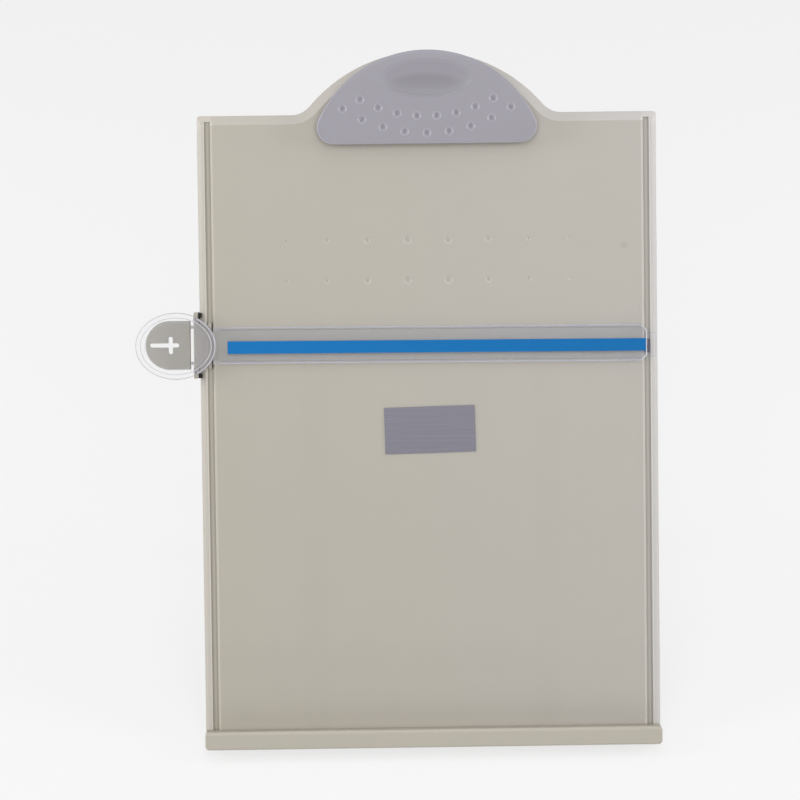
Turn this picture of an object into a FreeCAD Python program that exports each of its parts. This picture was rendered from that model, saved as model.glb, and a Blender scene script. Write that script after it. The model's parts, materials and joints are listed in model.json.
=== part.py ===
import FreeCAD, Part
import math
import os
import Sketcher

# Copy holder with a sliding line guide, standing on its rear leg, in millimetres.
# Each piece is drawn as if the board stood upright: X to the right, Y to the back, Z up the board, with the
# panel's face at Y = 0 and its bottom edge at Z = 0. Heights above the face, toward the reader, are minus Y.

# Driving sizes. Names ending in _angle are degrees, names ending in _count are counts, all others millimetres.
SIZES = {
    # stance
    "lean_angle": 30.0,
    "leg_open_angle": 35.0,
    # panel
    "board_width": 228.0,
    "board_height": 307.0,
    "board_depth": 9.0,
    "face_wall": 2.2,
    "skirt_wall": 2.2,
    "hump_radius": 76.0,
    "hump_rise": 31.0,
    "hump_blend": 12.0,
    "side_bevel": 2.5,
    "top_bevel": 4.5,
    "top_corner": 1.5,
    "bevel_drop": 2.0,
    "rim_width": 3.7,
    "groove_width": 2.8,
    "groove_depth": 1.3,
    "groove_top_gap": 3.0,
    "groove_round": 0.4,
    "border_wall": 2.8,
    "pit_pitch": 20.1,
    "pit_row_pitch": 20.0,
    "pit_row": 224.5,
    "pit_depth": 0.6,
    "pit_wall_angle": 56.0,
    "rib_wall": 1.6,
    "rib_reach": 5.8,
    "cross_rib_pitch": 48.0,
    # ledge
    "ledge_reach": 12.0,
    "ledge_height": 8.2,
    "ledge_wall": 2.0,
    "ledge_lip_rise": 0.9,
    "ledge_lip_width": 2.0,
    "ledge_corner": 2.0,
    "ledge_cell_pitch": 37.5,
    "ledge_cell_width": 35.5,
    "screw_spacing": 62.0,
    "screw_shank": 1.45,
    "screw_head": 2.8,
    "screw_head_height": 1.6,
    "screw_length": 12.0,
    "screw_depth": 5.4,
    "foot_length": 26.0,
    "foot_width": 8.0,
    "foot_height": 1.5,
    "foot_inset": 29.0,
    # plate on the face
    "plate_width": 45.3,
    "plate_height": 23.3,
    "plate_thickness": 0.4,
    "plate_level": 149.8,
    "plate_angle": 1.2,
    # clip
    "clip_radius": 59.5,
    "clip_rise": 31.3,
    "clip_drop": 14.9,
    "clip_corner": 8.5,
    "jaw_height": 7.0,
    "face_tilt_angle": 7.4,
    "clip_wall": 2.4,
    "clip_round": 1.2,
    "clip_gap": 1.4,
    "clip_heel_height": 7.8,
    "clip_pivot_rise": 7.0,
    "pivot_height": 4.2,
    "clip_pin_radius": 1.25,
    "clip_pin_length": 58.0,
    "clip_ear_wall": 3.0,
    "scoop_width": 45.4,
    "scoop_height": 19.0,
    "scoop_depth": 1.2,
    "scoop_level": 32.6,
    "scoop_tilt_angle": 8.5,
    "clip_pit_rise": 67.1,
    "clip_pit_low_radius": 76.6,
    "clip_pit_high_radius": 68.3,
    "clip_pit_angle": 8.23,
    "clip_pit_radius": 2.2,
    "bracket_wall": 1.0,
    "bracket_half_width": 23.8,
    "bracket_low": 9.5,
    "bracket_high": 9.0,
    "bracket_boss": 2.6,
    "ear_boss": 2.8,
    "rivet_radius": 1.5,
    "rivet_head": 2.6,
    "rivet_head_height": 0.8,
    "rivet_spacing": 30.0,
    "spring_wire": 0.4,
    "spring_mean": 2.1,
    "spring_pitch": 1.5,
    "jaw_pad_width": 2.2,
    # leg
    "pivot_up": 250.0,
    "pivot_in": 6.4,
    "rod_radius": 1.5,
    "rail_centre": 58.0,
    "rail_width": 12.0,
    "leg_front": 3.4,
    "leg_back": 2.6,
    "leg_wall": 1.8,
    "leg_bar_height": 15.0,
    "leg_corner": 9.0,
    "barrel_radius": 3.5,
    "heel_top": 4.5,
    "nest_gap": 0.8,
    "lug_wall": 4.2,
    "lug_radius": 4.2,
    "leg_foot_height": 2.6,
    # line guide and its carriage
    "guide_level": 193.2,
    "guide_droop_angle": 0.27,
    "wall_outer": 3.0,
    "wall_inner": 0.85,
    "wall_length": 32.5,
    "web_gap": 0.4,
    "web_top": 2.2,
    "web_half_height": 12.1,
    "web_reach": 6.2,
    "flange_gap": 0.4,
    "flange_wall": 2.0,
    "flange_reach": 6.0,
    "ear_wall": 2.3,
    "notch_depth": 3.5,
    "hinge_in": 1.95,
    "hinge_height": -0.5,
    "hinge_pin_radius": 0.6,
    "tongue_width": 1.75,
    "tongue_length": 23.0,
    "tongue_depth": 0.95,
    "pad_thickness": 0.5,
    "pad_lip_reach": 1.0,
    "pad_lip_depth": 0.3,
    "pad_lip_gap": 0.4,
    "groove_strip_width": 0.35,
    "groove_strip_drop": 0.1,
    "thumb_radius": 12.1,
    "thumb_centre": -15.2,
    "thumb_edge": -4.8,
    "thumb_front": -3.5,
    "thumb_wall": 3.0,
    "thumb_pin_radius": 0.75,
    "thumb_pin_spread": 18.1,
    "thumb_pin_grip": 7.0,
    "cross_left": -25.15,
    "cross_centre": -14.8,
    "cross_long": 14.6,
    "cross_short": 8.8,
    "cross_long_width": 2.2,
    "cross_short_width": 2.2,
    "head_centre": -11.8,
    "head_half_width": 20.1,
    "head_half_height": 16.6,
    "head_bottom": 2.6,
    "head_top": 5.6,
    "head_rim": 4.4,
    "head_floor": 4.4,
    "lug_thickness": 1.5,
    "strip_bottom": 0.8,
    "strip_top": 2.8,
    "strip_height": 18.2,
    "strip_left": 6.7,
    "strip_right": 222.4,
    "strip_chamfer_run": 2.6,
    "strip_chamfer_rise": 3.0,
    "strip_soften": 0.5,
    "bead_width": 1.3,
    "bead_rise": 0.5,
    "tail_height": 12.2,
    "tail_end": 227.2,
    "tail_thickness": 1.0,
    "line_left": 13.8,
    "line_right": 222.0,
    "line_width": 6.2,
    "line_offset": -1.0,
    "line_thickness": 0.25,
    "glide_height": 7.0,
    "glide_gap": 0.35,
    "glide_offset": -1.7,
    "coil_wire": 0.2,
    "coil_mean": 1.02,
    "coil_pitch": 0.85,
    # clearances
    "running_gap": 0.05,
    "seat_gap": 0.02,
    "side_gap": 0.3,
}

PANEL_PIT_RADII = (2.2, 1.8, 1.4, 1.05)
PANEL_CROSS_RIBS = 3
LEDGE_CELLS = 6
CLIP_SPRING_TURNS = 5
GUIDE_SPRING_TURNS = 3

doc = FreeCAD.newDocument("copy_holder")
sheet = doc.addObject("Spreadsheet::Sheet", "Sizes")


class Size:
    """A number together with the sheet formula that gives it."""

    def __init__(self, number, formula):
        self.number = float(number)
        self.formula = formula

    def __add__(self, other):
        return combine(self, "+", other)

    def __radd__(self, other):
        return combine(other, "+", self)

    def __sub__(self, other):
        return combine(self, "-", other)

    def __rsub__(self, other):
        return combine(other, "-", self)

    def __mul__(self, other):
        return combine(self, "*", other)

    def __rmul__(self, other):
        return combine(other, "*", self)

    def __truediv__(self, other):
        return combine(self, "/", other)

    def __neg__(self):
        return combine(0, "-", self)


def as_size(value):
    if isinstance(value, Size):
        return value
    return Size(value, "(%.9f)" % value)


def combine(first, sign, second):
    first = as_size(first)
    second = as_size(second)
    if sign == "+":
        number = first.number + second.number
    elif sign == "-":
        number = first.number - second.number
    elif sign == "*":
        number = first.number * second.number
    else:
        number = first.number / second.number
    return Size(number, "(%s %s %s)" % (first.formula, sign, second.formula))


def sine(angle):
    return Size(math.sin(math.radians(angle.number)), "sin(%s)" % angle.formula)


def cosine(angle):
    return Size(math.cos(math.radians(angle.number)), "cos(%s)" % angle.formula)


def tangent(angle):
    return sine(angle) / cosine(angle)


def root(value):
    return Size(math.sqrt(value.number), "sqrt(%s)" % value.formula)


def fill_sheet():
    """Write each driving size to its own named cell and return them as Size values."""
    sizes = {}
    for row, name in enumerate(SIZES, start=1):
        sheet.set("A%d" % row, name)
        sheet.set("B%d" % row, str(SIZES[name]))
        sheet.setAlias("B%d" % row, name)
        sizes[name] = Size(SIZES[name], "Sizes." + name)
    doc.recompute()
    return sizes


class Bend:
    """Marks that two corners of an outline are joined by an arc, its centre left or right of the way along."""

    def __init__(self, radius, side):
        self.radius = as_size(radius)
        self.side = side


def bind(thing, name, value):
    """Set a property to a size and tie it to the sheet."""
    value = as_size(value)
    if "Sizes." in value.formula:
        thing.setExpression(name, value.formula)
    else:
        setattr(thing, name, value.number)


def new_body(label):
    body = doc.addObject("PartDesign::Body", label)
    body.Label = label
    return body


def origin_plane(body, role):
    for feature in body.Origin.OriginFeatures:
        if feature.Role == role:
            return feature
    raise ValueError("no plane " + role)


def new_sketch(body, role, lift=0, name="Sketch"):
    """Start a sketch on one of the body's own planes, moved along that plane's normal by lift."""
    sketch = body.newObject("Sketcher::SketchObject", name)
    sketch.AttachmentSupport = [(origin_plane(body, role), "")]
    sketch.MapMode = "FlatFace"
    lift = as_size(lift)
    sketch.AttachmentOffset = FreeCAD.Placement(FreeCAD.Vector(0, 0, lift.number), FreeCAD.Rotation())
    if "Sizes." in lift.formula:
        sketch.setExpression("AttachmentOffset.Base.z", lift.formula)
    return sketch


def bind_constraint(sketch, kind, targets, value):
    value = as_size(value)
    index = sketch.addConstraint(Sketcher.Constraint(kind, *targets, value.number))
    if "Sizes." in value.formula:
        sketch.setExpression("Constraints[%d]" % index, value.formula)


def pin_point(sketch, geometry, place, corner):
    bind_constraint(sketch, "DistanceX", (-1, 1, geometry, place), corner[0])
    bind_constraint(sketch, "DistanceY", (-1, 1, geometry, place), corner[1])


def draw_outline(sketch, *steps):
    """Draw a closed outline from corners (x, y) and the bends between them, each corner tied to its sizes."""
    corners = []
    bends = {}
    for step in steps:
        if isinstance(step, Bend):
            bends[len(corners) - 1] = step
        else:
            corners.append((as_size(step[0]), as_size(step[1])))
    ends = []
    for index, corner in enumerate(corners):
        after = corners[(index + 1) % len(corners)]
        start = FreeCAD.Vector(corner[0].number, corner[1].number, 0)
        finish = FreeCAD.Vector(after[0].number, after[1].number, 0)
        bend = bends.get(index)
        if bend is None:
            geometry = sketch.addGeometry(Part.LineSegment(start, finish), False)
            ends.append((geometry, 1, 2))
            continue
        geometry = sketch.addGeometry(arc_between(start, finish, bend), False)
        bind_constraint(sketch, "Radius", (geometry,), bend.radius)
        ends.append((geometry, 1, 2) if bend.side > 0 else (geometry, 2, 1))
    for index, end in enumerate(ends):
        after = ends[(index + 1) % len(ends)]
        sketch.addConstraint(Sketcher.Constraint("Coincident", end[0], end[2], after[0], after[1]))
        pin_point(sketch, end[0], end[1], corners[index])
    return sketch


def arc_between(start, finish, bend):
    """The shorter arc between two points, with its centre on the bend's side."""
    chord = finish - start
    half = chord.Length / 2
    reach = math.sqrt(max(bend.radius.number ** 2 - half ** 2, 0))
    across = FreeCAD.Vector(-chord.y, chord.x, 0).normalize()
    centre = (start + finish) * 0.5 + across * (reach * bend.side)
    circle = Part.Circle(centre, FreeCAD.Vector(0, 0, 1), bend.radius.number)
    first = math.atan2(start.y - centre.y, start.x - centre.x)
    last = math.atan2(finish.y - centre.y, finish.x - centre.x)
    if bend.side < 0:
        first, last = last, first
    if last < first:
        last += 2 * math.pi
    return Part.ArcOfCircle(circle, first, last)


def draw_rectangle(sketch, left, bottom, right, top):
    return draw_outline(sketch, (left, bottom), (right, bottom), (right, top), (left, top))


def draw_circle(sketch, across, up, radius):
    radius = as_size(radius)
    across = as_size(across)
    up = as_size(up)
    centre = FreeCAD.Vector(across.number, up.number, 0)
    geometry = sketch.addGeometry(Part.Circle(centre, FreeCAD.Vector(0, 0, 1), radius.number), False)
    pin_point(sketch, geometry, 3, (across, up))
    bind_constraint(sketch, "Radius", (geometry,), radius)
    return sketch


def draw_ellipse(sketch, across, half_width, half_height):
    """Draw an upright ellipse on the sketch's horizontal axis, with its longer axis lying across."""
    across = as_size(across)
    centre = FreeCAD.Vector(across.number, 0, 0)
    far = centre + FreeCAD.Vector(half_width.number, 0, 0)
    high = centre + FreeCAD.Vector(0, half_height.number, 0)
    geometry = sketch.addGeometry(Part.Ellipse(far, high, centre), False)
    sketch.exposeInternalGeometry(geometry)
    long_axis = geometry + 1
    short_axis = geometry + 2
    pin_point(sketch, geometry, 3, (across, as_size(0)))
    bind_constraint(sketch, "DistanceX", (long_axis, 2, long_axis, 1), half_width * 2)
    sketch.addConstraint(Sketcher.Constraint("Horizontal", long_axis))
    bind_constraint(sketch, "DistanceY", (short_axis, 2, short_axis, 1), half_height * 2)
    return sketch


def draw_slot(sketch, left, right, middle, width):
    """Draw a level slot with round ends, each end in two quarter bends."""
    half = as_size(width) / 2
    left = as_size(left)
    right = as_size(right)
    middle = as_size(middle)
    return draw_outline(
        sketch,
        (left + half, middle - half),
        (right - half, middle - half), Bend(half, 1),
        (right, middle), Bend(half, 1),
        (right - half, middle + half),
        (left + half, middle + half), Bend(half, 1),
        (left, middle), Bend(half, 1))


def grow(body, kind, sketch, length, back=False, middle=False, taper=None):
    """Pad or pocket a sketch by a length, along its normal, against it, or evenly both ways."""
    feature = body.newObject("PartDesign::" + kind, kind)
    feature.Profile = sketch
    bind(feature, "Length", length)
    feature.Reversed = back
    feature.Midplane = middle
    if taper is not None:
        bind(feature, "TaperAngle", taper)
    doc.recompute()
    return feature


def pad(body, sketch, length, back=False, middle=False):
    return grow(body, "Pad", sketch, length, back, middle)


def pocket(body, sketch, length, back=False, middle=False, taper=None):
    """Cut a sketch out of a body, and stop if nothing was cut."""
    before = body.Shape.Volume
    feature = grow(body, "Pocket", sketch, length, back, middle, taper)
    if feature.Shape.Volume > before - 1e-4:
        raise ValueError("a pocket cut nothing in " + body.Label)
    return feature


def edges_of(feature, test):
    """Names of the feature's edges whose middle point, direction and length pass the test."""
    names = []
    for index, edge in enumerate(feature.Shape.Edges, start=1):
        middle = edge.valueAt((edge.FirstParameter + edge.LastParameter) / 2)
        if test(edge, middle):
            names.append("Edge%d" % index)
    return names


def is_along(edge, axis):
    """Whether an edge is a straight line along an axis given as 0, 1 or 2."""
    if edge.Curve.TypeId != "Part::GeomLine":
        return False
    direction = edge.Curve.Direction
    return abs((direction.x, direction.y, direction.z)[axis]) > 0.999


def near(value, target, within=0.01):
    target = target.number if isinstance(target, Size) else target
    return abs(value - target) < within


def round_edges(body, radius, test, kind="Fillet"):
    """Fillet or chamfer the body's edges that pass the test."""
    base = body.Tip
    names = edges_of(base, test)
    if not names:
        raise ValueError("no edges to round on " + body.Label)
    feature = body.newObject("PartDesign::" + kind, kind)
    feature.Base = (base, names)
    bind(feature, "Radius" if kind == "Fillet" else "Size", radius)
    doc.recompute()
    return feature


def mirror_across(body, originals, role="YZ_Plane"):
    """Repeat features on the other side of one of the body's own planes."""
    feature = body.newObject("PartDesign::Mirrored", "Mirrored")
    feature.Originals = originals
    feature.MirrorPlane = (origin_plane(body, role), [""])
    body.Tip = feature
    doc.recompute()
    return feature


k = fill_sheet()
half_board = k["board_width"] / 2
groove_outer = half_board - k["rim_width"]
groove_inner = groove_outer - k["groove_width"]
rib_back = k["face_wall"] + k["rib_reach"]
nest_inner = k["rail_centre"] - k["rail_width"] / 2 - k["nest_gap"]
nest_outer = k["rail_centre"] + k["rail_width"] / 2 + k["nest_gap"]
leg_half = k["rail_centre"] + k["rail_width"] / 2

# Levels up the board that the clip's pieces share, taken from the board's top edge
clip_top = k["board_height"] + k["clip_rise"]
clip_bottom = k["board_height"] - k["clip_drop"]
clip_pivot = k["board_height"] + k["clip_pivot_rise"]
clip_pit_centre = k["board_height"] + k["clip_pit_rise"]

# Depth of the lowest edge below the panel's foot, measured straight down once the board leans
slope_end_level = -k["ledge_height"] + k["board_depth"] * tangent(k["lean_angle"])
base_drop = k["ledge_height"] * cosine(k["lean_angle"]) + k["foot_height"]
pivot_rise = k["pivot_up"] * cosine(k["lean_angle"]) - k["pivot_in"] * sine(k["lean_angle"]) + base_drop
leg_lean = k["leg_open_angle"] - k["lean_angle"]
leg_length = pivot_rise / cosine(leg_lean) - k["leg_foot_height"]


def draw_hump(sketch, side, top, low):
    """The panel's outline, drawn in by side at the sides, top at the top and low at the bottom."""
    side = as_size(side)
    top = as_size(top)
    low = as_size(low)
    high = k["board_height"]
    corner = k["top_corner"]
    centre_level = high + k["hump_rise"] - k["hump_radius"]
    reach = k["hump_radius"] + k["hump_blend"]
    rise = high + k["hump_blend"] - centre_level
    foot_across = root(reach * reach - rise * rise)
    blend = k["hump_blend"] + top
    crown = k["hump_radius"] - top
    join_across = foot_across - blend * foot_across / reach
    join_level = high + k["hump_blend"] - blend * rise / reach
    edge = half_board - side
    return draw_outline(
        sketch,
        (-edge, low),
        (edge, low),
        (edge, high - top - corner), Bend(corner, 1),
        (edge - corner, high - top),
        (foot_across, high - top), Bend(blend, -1),
        (join_across, join_level), Bend(crown, 1),
        (-join_across, join_level), Bend(blend, -1),
        (-foot_across, high - top),
        (corner - edge, high - top), Bend(corner, 1),
        (-edge, high - top - corner))


def make_front_panel():
    body = new_body("front_panel")
    back = new_sketch(body, "XZ_Plane", -k["bevel_drop"], "outline")
    draw_hump(back, 0, 0, 0)
    front = new_sketch(body, "XZ_Plane", 0, "face_outline")
    draw_hump(front, k["side_bevel"], k["top_bevel"], 0)
    loft = body.newObject("PartDesign::AdditiveLoft", "bevelled_face")
    loft.Profile = back
    loft.Sections = [front]
    loft.Ruled = True
    skirt = new_sketch(body, "XZ_Plane", -k["bevel_drop"], "skirt_outline")
    draw_hump(skirt, 0, 0, 0)
    pad(body, skirt, k["board_depth"] - k["bevel_drop"], back=True)

    rear = -k["board_depth"]
    inside = new_sketch(body, "XZ_Plane", rear, "skirt_inside")
    draw_hump(inside, k["skirt_wall"], k["skirt_wall"], k["skirt_wall"])
    pocket(body, inside, k["board_depth"] - k["groove_depth"] - k["face_wall"], back=True)
    tray = new_sketch(body, "XZ_Plane", rear, "tray")
    border = k["rim_width"] + k["groove_width"] + k["border_wall"]
    draw_hump(tray, border, k["top_bevel"] + k["skirt_wall"] / 2, k["skirt_wall"])
    pocket(body, tray, k["board_depth"] - k["face_wall"], back=True)

    for side in (-1, 1):
        groove = new_sketch(body, "XY_Plane", 0, "groove_section")
        shoulder = k["groove_round"]
        draw_outline(
            groove,
            (side * groove_outer, -1),
            (side * groove_outer, k["groove_depth"]),
            (side * groove_inner, k["groove_depth"]),
            (side * groove_inner, shoulder), Bend(shoulder, side),
            (side * (groove_inner - shoulder), 0),
            (side * (groove_inner - shoulder), -1))
        pocket(body, groove, k["board_height"] - k["groove_top_gap"], back=True)
    cut_panel_pits(body)
    add_panel_ribs(body)
    add_stand_lugs(body)
    add_screw_bosses(body)
    drill_rivet_holes(body)
    return body


def min_of(first, second):
    return first if first.number < second.number else second


def max_of(first, second):
    return second if first.number < second.number else first


def cut_panel_pits(body):
    """Two rows of blind pits with sloping walls, smaller toward the sides."""
    pits = new_sketch(body, "XZ_Plane", 0, "pits")
    for column, radius in enumerate(PANEL_PIT_RADII):
        for side in (-1, 1):
            for row in (0, 1):
                draw_circle(pits, side * k["pit_pitch"] * (column + 0.5),
                            k["pit_row"] + k["pit_row_pitch"] * row, radius)
    pocket(body, pits, k["pit_depth"], taper=-k["pit_wall_angle"])


def add_panel_ribs(body):
    """Ribs on the back: a nest for the folded leg and stiffeners across the tray."""
    plane = -k["face_wall"]
    uprights = new_sketch(body, "XZ_Plane", plane, "nest_sides")
    bar_top = k["pivot_up"] - leg_length + k["leg_bar_height"] + k["nest_gap"] * 2
    top_stop = k["pivot_up"] - k["barrel_radius"] * 4
    low_edge = k["skirt_wall"] / 2
    for side in (-1, 1):
        inner = (side * nest_inner, side * (nest_inner - k["rib_wall"]))
        outer = (side * nest_outer, side * (nest_outer + k["rib_wall"]))
        draw_rectangle(uprights, min_of(*inner), bar_top, max_of(*inner), top_stop)
        draw_rectangle(uprights, min_of(*outer), low_edge, max_of(*outer), k["pivot_up"])
    pad(body, uprights, k["rib_reach"], back=True)
    crossing = new_sketch(body, "XZ_Plane", plane, "cross_ribs")
    nest_floor = k["pivot_up"] - leg_length - k["leg_foot_height"] - k["nest_gap"] * 3
    reach = half_board - k["rim_width"] - k["groove_width"] - k["border_wall"] / 2
    overlap = k["rib_wall"] / 2
    draw_rectangle(crossing, -nest_outer - overlap, nest_floor - k["rib_wall"], nest_outer + overlap, nest_floor)
    for step in range(PANEL_CROSS_RIBS):
        level = bar_top + k["cross_rib_pitch"] * (step + 0.5)
        draw_rectangle(crossing, -nest_inner + overlap, level, nest_inner - overlap, level + k["rib_wall"])
        for side in (-1, 1):
            pair = (side * (nest_outer + overlap), side * reach)
            draw_rectangle(crossing, min_of(*pair), level, max_of(*pair), level + k["rib_wall"])
    pad(body, crossing, k["rib_reach"] - k["rib_wall"], back=True)


def add_stand_lugs(body):
    """Two lugs on the back, bored for the rod that the leg turns on."""
    lift = nest_outer
    lug = new_sketch(body, "YZ_Plane", lift, "lug")
    radius = k["lug_radius"]
    front = k["face_wall"] / 2
    draw_outline(
        lug,
        (front, k["pivot_up"] - radius * 2),
        (k["pivot_in"], k["pivot_up"] - radius), Bend(radius, 1),
        (k["pivot_in"] + radius, k["pivot_up"]), Bend(radius, 1),
        (k["pivot_in"], k["pivot_up"] + radius),
        (front, k["pivot_up"] + radius * 2))
    lug_pad = pad(body, lug, k["lug_wall"])
    mirror_across(body, [lug_pad])
    bore = new_sketch(body, "YZ_Plane", 0, "rod_bore")
    draw_circle(bore, k["pivot_in"], k["pivot_up"], k["rod_radius"] + k["seat_gap"])
    pocket(body, bore, (nest_outer + k["lug_wall"] + 1) * 2, middle=True)


def screw_places():
    return [k["screw_spacing"] * step for step in (-1.5, -0.5, 0.5, 1.5)]


def add_screw_bosses(body):
    """Blocks at the bottom edge with blind holes for the ledge screws."""
    blocks = new_sketch(body, "XZ_Plane", -k["face_wall"] / 2, "screw_blocks")
    half = k["screw_head"] + k["ledge_wall"] / 2
    for place in screw_places():
        draw_rectangle(blocks, place - half, k["skirt_wall"] / 2, place + half, k["screw_length"] + k["ledge_wall"])
    pad(body, blocks, rib_back - k["face_wall"] / 2, back=True)
    holes = new_sketch(body, "XY_Plane", 0, "screw_holes")
    for place in screw_places():
        draw_circle(holes, place, k["screw_depth"], k["screw_shank"] + k["seat_gap"])
    pocket(body, holes, k["screw_length"], back=True)


def drill_rivet_holes(body):
    holes = new_sketch(body, "XZ_Plane", 0, "rivet_holes")
    for side in (-0.5, 0.5):
        draw_circle(holes, side * k["rivet_spacing"], rivet_level(), k["rivet_radius"] + k["seat_gap"])
    pocket(body, holes, k["face_wall"])


def rivet_level():
    return clip_pivot - k["bracket_low"] / 2 - k["rivet_head"] / 2


def make_document_ledge():
    """A shelf with a low front lip, open cells below and a rear slope that stands level on the feet."""
    body = new_body("document_ledge")
    front = -k["ledge_reach"]
    back = k["board_depth"]
    end = half_board
    corner = k["ledge_corner"]
    low = -k["ledge_height"]
    rise = k["ledge_lip_rise"]
    outline = new_sketch(body, "XZ_Plane", k["ledge_reach"], "outline")
    draw_outline(
        outline,
        (corner - end, low),
        (end - corner, low), Bend(corner, 1),
        (end, low + corner),
        (end, rise - corner), Bend(corner, 1),
        (end - corner, rise),
        (corner - end, rise), Bend(corner, 1),
        (-end, rise - corner),
        (-end, low + corner), Bend(corner, 1))
    pad(body, outline, k["ledge_reach"] + back, back=True)
    round_edges(body, k["ledge_lip_width"] * 0.4, lambda edge, middle: near(middle.y, front))
    shelf = new_sketch(body, "YZ_Plane", 0, "above_shelf")
    lip = k["ledge_lip_width"]
    draw_outline(
        shelf,
        (front + lip, rise + 1),
        (front + lip, rise),
        (front + lip * 1.8, 0),
        (back + 1, 0),
        (back + 1, rise + 1))
    pocket(body, shelf, end * 3, middle=True)
    slope = new_sketch(body, "YZ_Plane", 0, "below_slope")
    draw_outline(
        slope,
        (0, low - 1),
        (0, low),
        (back + 1, slope_end_level + tangent(k["lean_angle"])),
        (back + 1, low - 1))
    pocket(body, slope, end * 3, middle=True)

    cells = new_sketch(body, "XY_Plane", -k["ledge_height"], "cells")
    for step in range(LEDGE_CELLS):
        middle = k["ledge_cell_pitch"] * (step - (LEDGE_CELLS - 1) / 2)
        draw_rectangle(cells, middle - k["ledge_cell_width"] / 2, front + k["ledge_wall"],
                       middle + k["ledge_cell_width"] / 2, 0)
    pocket(body, cells, k["ledge_height"] - k["ledge_wall"], back=True)
    holes = new_sketch(body, "XY_Plane", 0, "screw_holes")
    seats = new_sketch(body, "XY_Plane", -screw_seat(), "screw_seats")
    for place in screw_places():
        draw_circle(holes, place, k["screw_depth"], k["screw_shank"] + k["seat_gap"])
        draw_circle(seats, place, k["screw_depth"], k["screw_head"] + k["side_gap"])
    pocket(body, holes, k["ledge_height"])
    pocket(body, seats, k["ledge_height"])
    return body


def screw_seat():
    """How far below the shelf the screw heads bear."""
    return k["ledge_wall"] * 1.1


def make_ledge_screws():
    """Four identical pan-head screws, driven up through the ledge into the panel."""
    body = new_body("ledge_screws")
    heads = new_sketch(body, "XY_Plane", -screw_seat() - k["seat_gap"], "heads")
    shanks = new_sketch(body, "XY_Plane", -screw_seat() - k["screw_head_height"] / 2, "shanks")
    for place in screw_places():
        draw_circle(heads, place, k["screw_depth"], k["screw_head"])
        draw_circle(shanks, place, k["screw_depth"], k["screw_shank"])
    pad(body, heads, k["screw_head_height"], back=True)
    pad(body, shanks, k["screw_length"])
    lowest = -(screw_seat() + k["seat_gap"] + k["screw_head_height"])
    round_edges(body, k["screw_head_height"] * 0.5, lambda edge, middle: near(middle.z, lowest), "Chamfer")
    return body


def make_name_plate():
    """A thin bare plate stuck to the face, a little askew as on the real one."""
    body = new_body("name_plate")
    sketch = new_sketch(body, "XZ_Plane", 0, "plate")
    half_wide = k["plate_width"] / 2
    half_high = k["plate_height"] / 2
    draw_rectangle(sketch, -half_wide, -half_high, half_wide, half_high)
    pad(body, sketch, k["plate_thickness"])
    round_edges(body, k["plate_thickness"], lambda edge, middle: is_along(edge, 1))
    return body


def make_foot(label):
    """A rubber pad drawn with its own base level, to be bonded to the ledge's rear slope."""
    body = new_body(label)
    sketch = new_sketch(body, "XY_Plane", 0, "pad")
    start = (k["board_depth"] / cosine(k["lean_angle"]) - k["foot_width"]) / 2
    draw_rectangle(sketch, -k["foot_length"] / 2, start, k["foot_length"] / 2, start + k["foot_width"])
    pad(body, sketch, k["foot_height"], back=True)
    round_edges(body, k["foot_height"], lambda edge, middle: is_along(edge, 2))
    return body


def clip_front(level):
    """Height of the clip's sloping face above the panel, at a level up the board."""
    return k["jaw_height"] + (level - clip_bottom) * tangent(k["face_tilt_angle"])


def tilt_to_face(feature, level, height, angle):
    """Move an attached sketch or primitive to a place over the clip's face, turned back by an angle."""
    turn = FreeCAD.Rotation(FreeCAD.Vector(1, 0, 0), angle.number)
    feature.AttachmentOffset = FreeCAD.Placement(FreeCAD.Vector(0, level.number, height.number), turn)
    feature.setExpression("AttachmentOffset.Base.y", level.formula)
    feature.setExpression("AttachmentOffset.Base.z", height.formula)
    feature.setExpression("AttachmentOffset.Rotation.Angle", angle.formula)


def shape_clip_block(body, inset, drop):
    """The clip's solid outline under its sloping face, drawn in by inset at the sides and lowered by drop."""
    outline = new_sketch(body, "XZ_Plane", 0, "outline")
    radius = k["clip_radius"] - inset
    corner = k["clip_corner"] - inset
    bottom = clip_bottom + inset
    centre_level = clip_top - k["clip_radius"]
    corner_rise = bottom + corner - centre_level
    corner_across = root((radius - corner) * (radius - corner) - corner_rise * corner_rise)
    join_across = corner_across * radius / (radius - corner)
    join_level = centre_level + corner_rise * radius / (radius - corner)
    draw_outline(
        outline,
        (-corner_across, bottom),
        (corner_across, bottom), Bend(corner, 1),
        (join_across, join_level), Bend(radius, 1),
        (-join_across, join_level), Bend(corner, 1))
    pad(body, outline, k["jaw_height"] * 3)
    margin = k["clip_corner"]
    high = clip_top + margin
    low = clip_bottom - margin
    above = new_sketch(body, "YZ_Plane", 0, "above_face")
    draw_outline(above, (drop - clip_front(low), low), (drop - clip_front(high), high),
                 (-k["jaw_height"] * 4, high), (-k["jaw_height"] * 4, low))
    pocket(body, above, k["clip_radius"] * 4, middle=True)


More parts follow.
